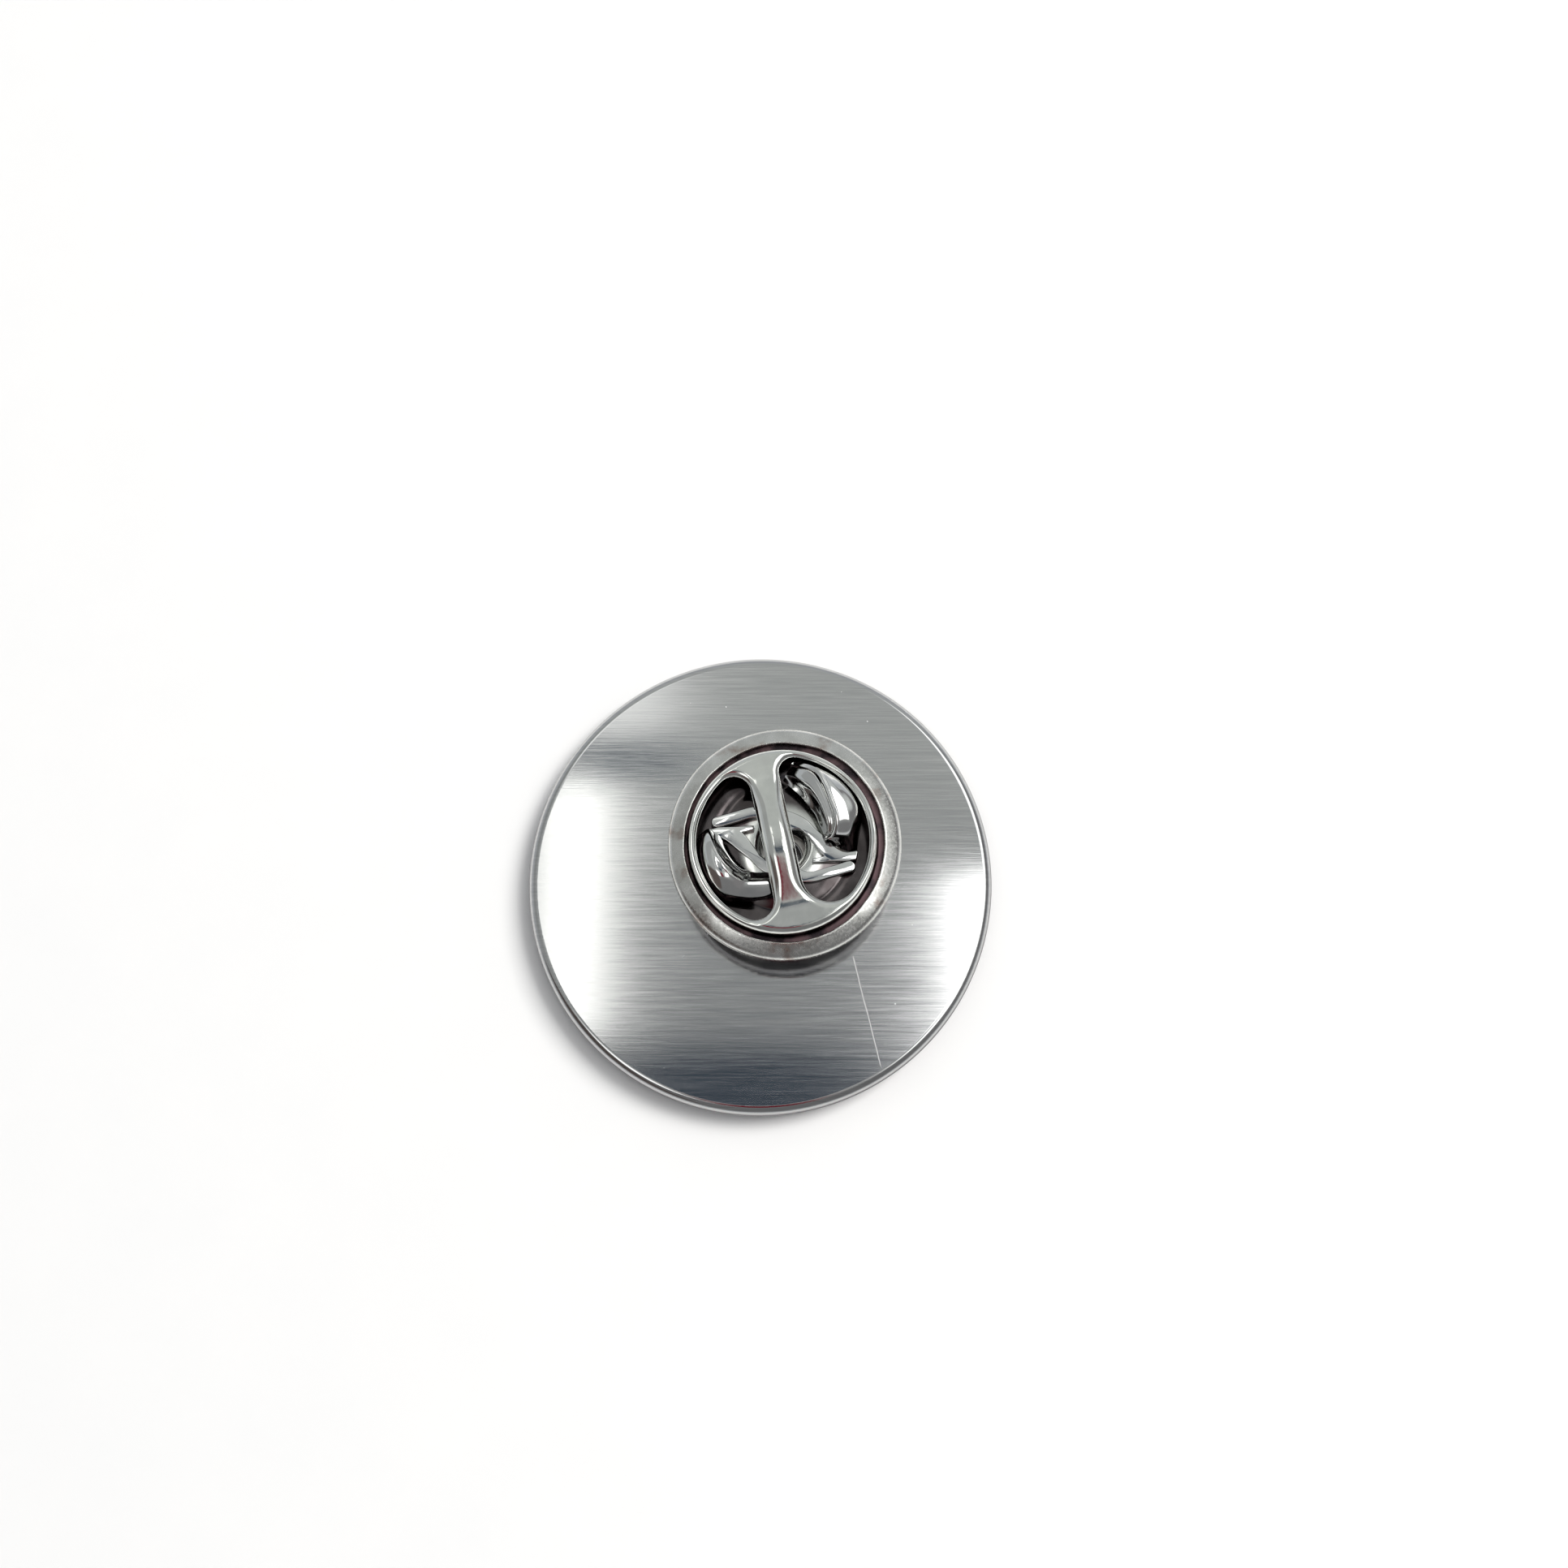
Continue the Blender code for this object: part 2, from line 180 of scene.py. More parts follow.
def even_loop(outline, pitch):
    """A closed outline with its points spaced evenly, about a pitch apart."""
    loop = np.array([*outline, outline[0]])
    run = np.concatenate([[0], np.cumsum(np.linalg.norm(np.diff(loop, axis=0), axis=1))])
    at = np.linspace(0, run[-1], int(run[-1] / pitch) + 1)[:-1]
    return np.stack([np.interp(at, run, loop[:, 0]), np.interp(at, run, loop[:, 1])], 1)


def grid_faces(rows, columns, wrap_rows=False, wrap_columns=False):
    """Quads between rows of points that are stored one row after another."""
    faces = []
    for i in range(rows if wrap_rows else rows - 1):
        for j in range(columns if wrap_columns else columns - 1):
            low, high = i * columns, (i + 1) % rows * columns
            k = (j + 1) % columns
            faces.append((low + j, low + k, high + k, high + j))
    return faces


def turned(profile, segments, change=None):
    """Rings of a (radius, height) profile. change(radius, height, angle) may move each point."""
    points = []
    for radius, height in profile:
        for i in range(segments):
            angle = 2 * math.pi * i / segments
            r, z = change(radius, height, angle) if change else (radius, height)
            points.append((r * math.cos(angle), r * math.sin(angle), z))
    return points


def turned_solid(profile, segments, change=None):
    """Points and faces of a profile from one end of the axis to the other, closed by flat ends."""
    points = turned(profile, segments, change)
    faces = grid_faces(len(profile), segments, wrap_columns=True)
    last = (len(profile) - 1) * segments
    ends = [tuple(reversed(range(segments))), tuple(range(last, last + segments))]
    return points, faces + ends


def turned_ring(profile, segments, change=None):
    """Points and faces of a closed profile that goes all the way round a hole."""
    points = turned(profile, segments, change)
    return points, grid_faces(len(profile), segments, wrap_rows=True, wrap_columns=True)


def prism(outline, bottom, top):
    """Points and faces of an outline raised from bottom to top."""
    count = len(outline)
    points = [(x, y, bottom) for x, y in outline] + [(x, y, top) for x, y in outline]
    sides = [(i, (i + 1) % count, count + (i + 1) % count, count + i) for i in range(count)]
    faces = [tuple(reversed(range(count))), tuple(range(count, 2 * count))]
    return points, faces + sides


def joined(parts):
    """Several (points, faces) pairs as one."""
    points = []
    faces = []
    for part_points, part_faces in parts:
        start = len(points)
        points.extend(part_points)
        faces.extend([[start + i for i in face] for face in part_faces])
    return points, faces


def ripple(x, y, z=0.0):
    """Smooth noise between about -1 and 1."""
    return noise.noise(Vector((x, y, z)))


def new_mesh(name, points, faces):
    """A mesh in metres with its faces pointing out."""
    mesh = bpy.data.meshes.new(name)
    mesh.from_pydata([Vector(p) * MM for p in points], [], [tuple(f) for f in faces])
    work = bmesh.new()
    work.from_mesh(mesh)
    bmesh.ops.recalc_face_normals(work, faces=work.faces)
    work.to_mesh(mesh)
    work.free()
    return mesh


def new_object(name, points, faces):
    """A mesh object, linked to the scene."""
    obj = bpy.data.objects.new(name, new_mesh(name, points, faces))
    bpy.context.scene.collection.objects.link(obj)
    return obj


def finish_piece(obj, materials, body, nodes, sharp=40):
    """Shades a piece, and says what it rides on and which CAD nodes it stands for."""
    obj.data.shade_smooth()
    obj.data.set_sharp_from_angle(angle=math.radians(sharp))
    for material in materials:
        obj.data.materials.append(material)
    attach(obj, body)
    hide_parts(*nodes)
    return obj


def on_axis(points):
    """Clutch points moved from the post's axis to their place."""
    return [(x + AXIS.x, y + AXIS.y, z) for x, y, z in points]


# Material helpers


class Shader:
    """A material or world whose nodes are added one short call at a time."""

    def __init__(self, owner):
        owner.use_nodes = True
        self.owner = owner
        self.tree = owner.node_tree
        self.main = self.tree.nodes.get("Principled BSDF")

    def add(self, kind, values=None, **settings):
        """A node. Its inputs are set by name or number, to a value or from another node's output."""
        made = self.tree.nodes.new("ShaderNode" + kind)
        for name, value in settings.items():
            setattr(made, name, value)
        for name, value in (values or {}).items():
            self.put(made.inputs[name], value)
        return made.outputs[0]

    def put(self, socket, value):
        if isinstance(value, bpy.types.NodeSocket):
            self.tree.links.new(value, socket)
        else:
            socket.default_value = value

    def set(self, **values):
        """Inputs of the Principled shader, with _ for a space in their names."""
        for name, value in values.items():
            self.put(self.main.inputs[name.replace("_", " ")], value)

    def math(self, operation, a, b=0.0, c=0.0):
        return self.add("Math", {0: a, 1: b, 2: c}, operation=operation)

    def ramp(self, value, low, high, start=0.0, end=1.0):
        """start to end as value goes from low to high, with soft ends."""
        values = {"Value": value, "From Min": low, "From Max": high, "To Min": start, "To Max": end}
        return self.add("MapRange", values, interpolation_type="SMOOTHSTEP")

    def mix(self, share, a, b):
        """Colour a where share is 0 and b where it is 1."""
        made = self.tree.nodes.new("ShaderNodeMix")
        made.data_type = "RGBA"
        self.put(made.inputs["Factor"], share)
        self.put(made.inputs["A"], a if isinstance(a, bpy.types.NodeSocket) else (*a, 1.0))
        self.put(made.inputs["B"], b if isinstance(b, bpy.types.NodeSocket) else (*b, 1.0))
        return made.outputs["Result"]

    def place(self, scale=(1.0, 1.0, 1.0)):
        """The object's own coordinates, in millimetres and then scaled."""
        coords = self.tree.nodes.new("ShaderNodeTexCoord")
        in_mm = [s / MM for s in scale]
        return self.add("Mapping", {"Vector": coords.outputs["Object"], "Scale": in_mm})

    def split(self, vector):
        """The x, y and z of a vector."""
        parts = self.tree.nodes.new("ShaderNodeSeparateXYZ")
        self.put(parts.inputs[0], vector)
        return parts.outputs

    def spots(self, scale, size, edge, strength=1.0):
        """Scattered round spots, one in each random cell, that fade out from size to edge."""
        cells = self.tree.nodes.new("ShaderNodeTexVoronoi")
        self.put(cells.inputs["Vector"], self.place((scale, scale, scale)))
        self.put(cells.inputs["Scale"], 1.0)
        return self.ramp(cells.outputs["Distance"], size, edge, strength, 0.0)

    def noise(self, scale, detail=3.0, roughness=0.5):
        values = {"Vector": self.place(scale), "Scale": 1.0, "Detail": detail, "Roughness": roughness}
        return self.add("TexNoise", values)

    def line(self, start, end, width):
        """1 along a thin, slightly wavering line over the plan, between two points in millimetres."""
        start, end = Vector((*start, 0)), Vector((*end, 0))
        along = end - start
        turn = (0.0, 0.0, -math.atan2(along.y, along.x))
        centred = self.add("Mapping", {"Vector": self.place(), "Location": -(start + end) / 2})
        turned_in = self.add("Mapping", {"Vector": centred, "Rotation": turn})
        x, y, _ = self.split(turned_in)
        waver = self.math("MULTIPLY", self.math("SUBTRACT", self.noise((0.5, 0.5, 0.5)), 0.5), 0.15)
        off = self.math("ABSOLUTE", self.math("ADD", y, waver))
        beyond = self.math("ABSOLUTE", x)
        half = along.length / 2
        return self.math("MULTIPLY", self.ramp(off, width, 2 * width, 1.0, 0.0),
                         self.ramp(beyond, half - 0.5, half, 1.0, 0.0))

    def radius(self, centre):
        """Distance over the plan from a point, in millimetres."""
        off = self.add("Mapping", {"Vector": self.place(), "Location": (-centre.x, -centre.y, 0.0)})
        x, y, _ = self.split(off)
        return self.math("SQRT", self.math("MULTIPLY_ADD", x, x, self.math("MULTIPLY", y, y)))

    def bump(self, height, strength, distance):
        """Bump whose height of 1 stands for a distance in millimetres."""
        return self.add("Bump", {"Height": height, "Strength": strength, "Distance": distance * MM})


def new_material(name):
    return Shader(bpy.data.materials.new(name))


# Materials


def brushed_metal():
    """Satin nickel, brushed along X: fine streaks, a few specks, one thin scratch, and painted shade on the
    steep side.
    """
    made = new_material("brushed_nickel")
    fine = made.noise((0.45, 34.0, 1.0), 2.0)
    broad = made.noise((0.15, 7.0, 1.0), 3.0)
    streaks = made.math("ADD", made.math("MULTIPLY", fine, 0.6), made.math("MULTIPLY", broad, 0.4))
    colour = made.mix(made.ramp(streaks, 0.3, 0.7), (0.50, 0.505, 0.505), (0.60, 0.60, 0.595))
    chosen = made.ramp(made.noise((0.35, 0.35, 0.35)), 0.50, 0.56)
    specks = made.math("MULTIPLY", made.spots(1.1, 0.025, 0.05), chosen)
    colour = made.mix(specks, colour, (0.95, 0.95, 0.94))
    scratch = made.line((4.9, -4.0), (6.4, -10.3), 0.018)
    colour = made.mix(made.math("MULTIPLY", scratch, 0.55), colour, (0.95, 0.94, 0.92))
    # Painted shade: the steep side is coloured dark in place of the shadowed floor it reflects. It is made
    # rougher too.
    facing = made.add("NewGeometry").node.outputs["True Normal"]
    side = made.ramp(made.split(facing)[2], 0.25, 0.65, 1.0, 0.0)
    colour = made.mix(side, colour, (0.20, 0.19, 0.20))
    bare = made.math("MAXIMUM", specks, made.math("MULTIPLY", scratch, 0.5))
    metallic = made.math("SUBTRACT", 1.0, bare)
    made.set(Base_Color=colour, Metallic=metallic, Anisotropic=0.8, Anisotropic_Rotation=0.0)
    polish = made.ramp(streaks, 0.25, 0.75, 0.07, 0.115)
    made.set(Roughness=made.math("ADD", polish, made.math("MULTIPLY", side, 0.45)))
    made.set(Normal=made.bump(streaks, 0.3, 0.002))
    tangent = made.tree.nodes.new("ShaderNodeTangent")
    tangent.direction_type = "UV_MAP"
    tangent.uv_map = "brushing"
    made.set(Tangent=tangent.outputs[0])
    return made.owner


def bright_nickel(name, low, high, roughness, dents):
    """Bright plated sheet: slight clouding, faint orange peel and tiny pits."""
    made = new_material(name)
    cloud = made.noise((0.8, 0.8, 0.8), 3.0)
    peel = made.noise((3.0, 3.0, 3.0), 2.0)
    made.set(Base_Color=made.mix(made.ramp(cloud, 0.3, 0.7), low, high), Metallic=1.0)
    made.set(Roughness=made.ramp(cloud, 0.3, 0.7, roughness * 0.8, roughness * 1.3))
    made.set(Normal=made.bump(peel, 0.5, dents))
    return made.owner


def floor_nickel():
    """The cup's inside: bright round the hole, and painted shade out under the cap."""
    made = new_material("floor_nickel")
    cloud = made.noise((0.8, 0.8, 0.8), 3.0)
    bright = made.mix(made.ramp(cloud, 0.3, 0.7), (0.70, 0.71, 0.68), (0.79, 0.80, 0.76))
    # Painted shade: the floor turns dark beyond about 2.1 mm from the axis, where the cap and wings shade
    # it.
    dark = made.mix(made.ramp(cloud, 0.3, 0.7), (0.07, 0.06, 0.06), (0.14, 0.125, 0.125))
    edge = made.math("MULTIPLY_ADD", cloud, 0.6, made.radius(AXIS))
    made.set(Base_Color=made.mix(made.ramp(edge, 2.1, 2.7), bright, dark), Metallic=1.0)
    made.set(Roughness=made.ramp(cloud, 0.3, 0.7, 0.09, 0.16))
    return made.owner


def stained_nickel():
    """The crimped rim: satin plating, rubbed by the crimping tool and stained brown in places."""
    made = new_material("rim_nickel")
    cloud = made.noise((0.8, 0.8, 0.8), 4.0)
    marks = made.noise((7.0, 7.0, 1.0), 3.0)
    colour = made.mix(made.ramp(cloud, 0.3, 0.7), (0.58, 0.58, 0.55), (0.74, 0.74, 0.71))
    stain = made.ramp(made.noise((0.55, 0.55, 0.3), 3.0, 0.6), 0.54, 0.68)
    stain = made.math("MULTIPLY", stain, made.math("ADD", marks, 0.1))
    colour = made.mix(stain, colour, (0.28, 0.18, 0.14))
    made.set(Base_Color=colour, Metallic=1.0, Roughness=made.ramp(marks, 0.3, 0.7, 0.16, 0.30))
    made.set(Normal=made.bump(marks, 0.3, 0.004))
    return made.owner


def painted_shade_metal(name, lighter):
    """Nearly black, rough metal: painted shade for the groove and undersides that the light doesn't reach.
    """
    made = new_material(name)
    cloud = made.noise((1.2, 1.2, 1.2), 4.0)
    low = tuple(lighter * c for c in (0.03, 0.024, 0.027))
    high = tuple(lighter * c for c in (0.13, 0.085, 0.09))
    made.set(Base_Color=made.mix(made.ramp(cloud, 0.35, 0.65), low, high), Metallic=1.0)
    made.set(Roughness=made.ramp(cloud, 0.3, 0.7, 0.25, 0.45))
    return made.owner


def drawn_wire():
    """Bright wire with fine draw lines round the post's length."""
    made = new_material("drawn_wire")
    lines = made.noise((18.0, 18.0, 0.5), 2.0)
    made.set(Base_Color=made.mix(lines, (0.60, 0.60, 0.59), (0.72, 0.72, 0.70)), Metallic=1.0)
    made.set(Roughness=made.ramp(lines, 0.3, 0.7, 0.16, 0.30))
    made.set(Normal=made.bump(lines, 0.4, 0.004))
    return made.owner


def braze_metal():
    """Dull silver braze with a coarse grain."""
    made = new_material("braze_metal")
    grain = made.noise((3.0, 3.0, 3.0), 5.0)
    made.set(Base_Color=made.mix(grain, (0.38, 0.36, 0.32), (0.60, 0.58, 0.54)), Metallic=1.0)
    made.set(Roughness=made.ramp(grain, 0.3, 0.7, 0.30, 0.55))
    made.set(Normal=made.bump(grain, 0.6, 0.03))
    return made.owner


def enamel(name, low, high):
    """Polished hard enamel: glass colour with faint clouding and a few buried bubbles."""
    made = new_material(name)
    cloud = made.noise((0.7, 0.7, 0.7), 4.0)
    colour = made.mix(made.ramp(cloud, 0.3, 0.7), low, high)
    bubbles = made.spots(2.4, 0.05, 0.11, 0.35)
    pale = tuple(0.5 * c + 0.45 for c in high)
    made.set(Base_Color=made.mix(bubbles, colour, pale), Metallic=0.0, IOR=1.52, Coat_Weight=0.6)
    made.set(Roughness=made.ramp(cloud, 0.3, 0.7, 0.10, 0.17))
    made.set(Normal=made.bump(made.noise((1.2, 1.2, 1.2), 2.0), 0.4, 0.01))
    return made.owner


# Plate and enamel


def petal_half_width(radius, extra=0.0):
    """Half of a petal's width at a radius, with something added to it."""
    part = (radius - PETAL_START) / (PETAL_END - PETAL_START)
    return PETAL_HALF_WIDTH * math.sin(math.pi * min(max(part, 0.0), 1.0)) ** 0.85 + extra


def petal_outline(grow):
    """A petal along +X, pointed at both ends, grown outwards by a gap."""
    steps = 28
    edge = []
    for i in range(1, steps):
        radius = PETAL_START + (PETAL_END - PETAL_START) * i / steps
        edge.append((radius, petal_half_width(radius, grow)))
    lower = [(x, -y) for x, y in edge]
    return [(PETAL_START - grow, 0.0)] + lower + [(PETAL_END + grow, 0.0)] + edge[::-1]


def gap_outline(grow):
    """The cell between two petals, symmetric about +X, grown outwards by a gap."""
    steps = 18
    half_pitch = math.pi / PETALS
    outer = RING_INNER - LINE_WIDTH - 0.05
    lower = []
    for i in range(steps + 1):
        radius = GAP_CELL_START + (outer - GAP_CELL_START) * i / steps
        taken = math.asin((petal_half_width(radius, LINE_WIDTH) - grow) / radius)
        angle = half_pitch - taken
        reach = radius + (grow if i == steps else 0.0)
        lower.append((reach * math.cos(angle), -reach * math.sin(angle)))
    tip = (GAP_CELL_START - 0.5 - grow, 0.0)
    end_angle = math.degrees(math.atan2(lower[-1][1], lower[-1][0]))
    rim = arc((0, 0), outer + grow, end_angle, -end_angle, 10)[1:-1]
    return [tip] + lower + rim + [(x, -y) for x, y in reversed(lower)]


def ring_body(grow, bottom, top):
    """Points and faces of the border ring, grown by a gap on both edges."""
    outer, inner = RING_OUTER + grow, RING_INNER - grow
    profile = [(outer, bottom), (outer, top), (inner, top), (inner, bottom)]
    return turned_ring(profile, ROUND_SEGMENTS)


def cell_outlines(grow):
    """Node name and outline of each enamel cell but the ring."""
    cells = {"enamel_hub": arc((0, 0), HUB_RADIUS + grow, 0, 360, 96)[:-1]}
    for i in range(PETALS):
        turn = 2 * math.pi * i / PETALS
        half = turn + math.pi / PETALS
        cells[f"enamel_petal_{i + 1}"] = turn_outline(petal_outline(grow), turn)
        cells[f"enamel_gap_{i + 1}"] = turn_outline(gap_outline(grow), half)
    return cells


def cut_away(obj, points, faces):
    """Takes a closed body away from an object's mesh for good."""
    cutter = new_object(obj.name + "_cutter", points, faces)
    modifier = obj.modifiers.new("cut", "BOOLEAN")
    modifier.operation = "DIFFERENCE"
    modifier.solver = "EXACT"
    modifier.object = cutter
    whole = bpy.context.evaluated_depsgraph_get()
    obj.data = bpy.data.meshes.new_from_object(obj.evaluated_get(whole))
    obj.modifiers.clear()
    bpy.data.objects.remove(cutter, do_unlink=True)


def add_brushing_map(mesh):
    """A flat map of the back, so that the shader knows which way the brushing runs."""
    layer = mesh.uv_layers.new(name="brushing")
    for loop in mesh.loops:
        place = mesh.vertices[loop.vertex_index].co / MM
        layer.data[loop.index].uv = (0.5 + place.x / MAP_WIDTH, 0.5 + place.y / MAP_WIDTH)


def make_plate(metal):
    """The struck disc: rolled edges, a flat back, and cells sunk into the front."""
    back = [(PLATE_RADIUS - BACK_EDGE * (1 - math.cos(a)), PLATE_TOP - BACK_EDGE * (1 - math.sin(a)))
            for a in np.radians(np.linspace(0, 90, 13))]
    front = arc((PLATE_RADIUS - FRONT_EDGE, FRONT_EDGE), FRONT_EDGE, -90, 0, 8)
    flat = PLATE_RADIUS - BACK_EDGE
    profile = [(PLATE_RADIUS - 0.35, 0.0)] + front + back
    profile += [(flat - 0.04, PLATE_TOP), (flat - 0.5, PLATE_TOP)]
    plate = new_object("struck_plate", *turned_solid(profile, ROUND_SEGMENTS))
    depth = ENAMEL_BACK + CELL_GAP
    cells = [prism(outline, -0.5, depth) for outline in cell_outlines(CELL_GAP).values()]
    cut_away(plate, *joined([*cells, ring_body(CELL_GAP, -0.5, depth)]))
    add_brushing_map(plate.data)
    finish_piece(plate, [metal], "badge", ["plate"], 25)


def make_enamel(node, points, faces, colours):
    """One fill, its face dished a little where the glass met the cell's wall."""
    fill = new_object(node.replace("enamel", "glass"), points, faces)
    work = bmesh.new()
    work.from_mesh(fill.data)
    face = [f for f in work.faces if f.normal.z < -0.9]
    inset = 0.09 * MM
    bmesh.ops.inset_region(work, faces=face, thickness=inset, depth=0.0, use_even_offset=True)
    rim = {v for f in work.faces if f.normal.z < -0.9 for v in f.verts}
    inner = {v for f in face for v in f.verts}
    for vertex in rim - inner:
        vertex.co.z += 0.02 * MM
    work.to_mesh(fill.data)
    work.free()
    colour, slot = colours[node.split("_")[1]]
    finish_piece(fill, [colour], "badge", [node], 50)


def make_enamels(colours):
    """Every fill of the front: hub, petals, gaps and ring."""
    for node, outline in cell_outlines(0.0).items():
        make_enamel(node, *prism(outline, ENAMEL_FACE, ENAMEL_BACK), colours)
    make_enamel("enamel_ring", *ring_body(0.0, ENAMEL_FACE, ENAMEL_BACK), colours)


# Post


def make_post(metal):
    """A nail with a foot on the plate, a groove for the jaws and a blunt point."""
    shoulder = POST_FOOT + FOOT_THICKNESS
    groove = (JAW_BOTTOM + JAW_TOP) / 2
    ramp = POST_RADIUS - GROOVE_RADIUS
    neck = POST_TIP - 0.6
    point = smooth_path([(POST_RADIUS, neck), (POST_RADIUS * 0.93, neck + 0.12), (0.36, neck + 0.28),
                         (0.2, neck + 0.47), (0.06, POST_TIP)], 5)
    profile = [(FOOT_RADIUS, POST_FOOT)]
    profile += arc((FOOT_RADIUS - 0.06, shoulder - 0.06), 0.06, 0, 90, 4)
    profile += [(POST_RADIUS + 0.08, shoulder), (POST_RADIUS, shoulder + 0.08)]
    profile += [(POST_RADIUS, groove - GROOVE_REACH - ramp), (GROOVE_RADIUS, groove - GROOVE_REACH)]
    profile += [(GROOVE_RADIUS, groove + GROOVE_REACH), (POST_RADIUS, groove + GROOVE_REACH + ramp)]
    profile += [tuple(p) for p in point]
    points, faces = turned_solid(profile, 64)
    post = new_object("nail_post", on_axis(points), faces)
    finish_piece(post, [metal], "badge", ["post"], 30)


def make_braze(metal):
    """The bead of braze round the foot, with an uneven edge."""
    inner = FOOT_RADIUS + 0.02
    width = BRAZE_RADIUS - 0.03 - inner
    height = FOOT_THICKNESS * 0.8

    def uneven(radius, z, angle):
        out = (radius - inner) / width
        edge = 0.05 * ripple(2 * math.cos(angle), 2 * math.sin(angle))
        lift = 0.04 * ripple(3 * math.cos(angle), 3 * math.sin(angle), radius)
        return radius - out * (0.04 - edge), z + (lift if 0.05 < out < 0.95 and z > POST_FOOT else 0.0)

    profile = [(inner, POST_FOOT)]
    for degrees in range(0, 91, 9):
        a = math.radians(degrees)
        out = width * (1 - math.sin(a))
        profile.append((inner + out, POST_FOOT + 0.02 + height * (1 - math.cos(a))))
    profile.insert(1, (inner + width, POST_FOOT))
    points, faces = turned_ring(profile, 96, uneven)
    bead = new_object("braze_bead", on_axis(points), faces)
    finish_piece(bead, [metal], "badge", ["braze_fillet"], 50)


# Clutch cup


def cup_change(radius, height, angle):
    """Moves the rolled rim off the axis and waves the crimped edge."""
    cos, sin = math.cos(angle), math.sin(angle)
    out = min(max((radius - CRIMP_RADIUS) / (RIM_RADIUS - CRIMP_RADIUS), 0.0), 1.0)
    high = min(max((height - CUP_BASE - 0.3) / 0.6, 0.0), 1.0)
    shift = RIM_SHIFT[0] * cos + RIM_SHIFT[1] * sin - RIM_SQUASH * RIM_RADIUS * cos * cos
    radius += high * shift + out * 0.02 * ripple(1.5 * cos, 1.5 * sin, 4.0)
    if height > RIM_WIDEST and out < 0.5:
        edge = 1 - 2 * out
        radius += edge * (0.035 * ripple(4 * cos, 4 * sin, 1.0) + 0.012 * ripple(16 * cos, 16 * sin))
        height += edge * 0.03 * ripple(3 * cos, 3 * sin, 7.0)
    return radius, height


def floor_height(radius):
    """The floor's inside: a shallow groove, then a low hill to the hole, whose lip turns down."""
    hill = FLOOR_HILL * (1 + math.cos(math.pi * min(max((radius - HOLE_LIP) / 2.2, 0.0), 1.0))) / 2
    lip = max((HOLE_LIP - radius) / (HOLE_LIP - HOLE_RADIUS), 0.0)
    groove = 0.05 * math.exp(-(((radius - 3.4) / 0.35) ** 2))
    return CUP_BASE + SHEET + hill - groove - 0.22 * lip**2


def make_cup(bright, satin, underside_shade, inside):
    """The floor with its hole, the rolled wall, and the rim crimped in over the cap's flange."""
    roll = RIM_TOP - RIM_WIDEST
    reach = RIM_RADIUS - FLOOR_RADIUS
    rise = RIM_WIDEST - CUP_BASE
    wall = np.radians(np.linspace(8, 90, 14))
    floor = CUP_BASE + SHEET
    profile = [(HOLE_RADIUS + 0.02, CUP_BASE + 0.04), (HOLE_RADIUS + 0.12, CUP_BASE)]
    profile += [(r, CUP_BASE) for r in (2.5, 4.0, 4.5, FLOOR_RADIUS - 0.05)]
    profile += [(FLOOR_RADIUS + reach * math.sin(a), CUP_BASE + rise * (1 - math.cos(a))) for a in wall]
    profile += [(RIM_RADIUS - roll + x, RIM_WIDEST + RIM_FALL * z) for x, z in arc((0, 0), roll, 10, 62, 8)]
    profile += smooth_path([(CRIMP_RADIUS + 0.22, RIM_TOP - 0.05), (CRIMP_RADIUS + 0.06, RIM_TOP - 0.005),
                            (CRIMP_RADIUS, RIM_TOP - 0.05), (CRIMP_RADIUS, RIM_TOP - 0.18),
                            (CRIMP_RADIUS + 0.03, RIM_TOP - SHEET)], 4).tolist()
    profile += arc((RIM_RADIUS - roll, RIM_WIDEST), roll - SHEET, 75, 0, 6)
    profile += [(FLOOR_RADIUS + (reach - SHEET) * math.sin(a), floor + (rise - SHEET) * (1 - math.cos(a)))
                for a in wall[-2::-1]]
    profile += [(r, floor_height(r)) for r in np.linspace(FLOOR_RADIUS, HOLE_RADIUS, 40)]
    points, faces = turned_ring(profile, ROUND_SEGMENTS, cup_change)
    cup = new_object("crimped_cup", on_axis(points), faces)
    finish_piece(cup, [bright, satin, underside_shade, inside], "cup", ["clutch_cup"])
    for face in cup.data.polygons:
        if face.center.z / MM > SATIN_FROM:
            face.material_index = 1
        # Faces turned down to the plate get painted shade; faces turned up inside get the floor's material.
        elif face.normal.z < -0.1:
            face.material_index = 2
        elif face.normal.z > 0.3:
            face.material_index = 3


# Clutch cap


def opening_outline(side, first_corner, last_corner):
    """An opening to the right of the bridge: a straight side, two round corners and an outer arc."""
    corners = []
    touches = []
    for radius, way in ((first_corner, -1), (last_corner, 1)):
        # The corner touches the straight side and, from inside, the outer arc.
        centre_x = side + radius
        centre_y = way * math.sqrt((OPENING_RADIUS - radius) ** 2 - centre_x**2)
        touch = math.degrees(math.atan2(centre_y, centre_x))
        corners.append(arc((centre_x, centre_y), radius, 180 * way, touch, 24))
        touches.append(touch)
    outer = arc((0, 0), OPENING_RADIUS, *touches, 60)[1:-1]
    return corners[0] + outer + corners[1][::-1]


def gap_to(outlines, places):
    """Each place's distance to the nearest outline."""
    nearest = np.full(len(places), 1e9)
    for outline in outlines:
        start = outline
        along = np.roll(outline, -1, axis=0) - start
        to = places[:, None, :] - start[None]
        t = np.clip((to * along).sum(2) / (along**2).sum(1), 0, 1)
        gaps = np.linalg.norm(to - t[:, :, None] * along, axis=2)
        nearest = np.minimum(nearest, gaps.min(1))
    return nearest


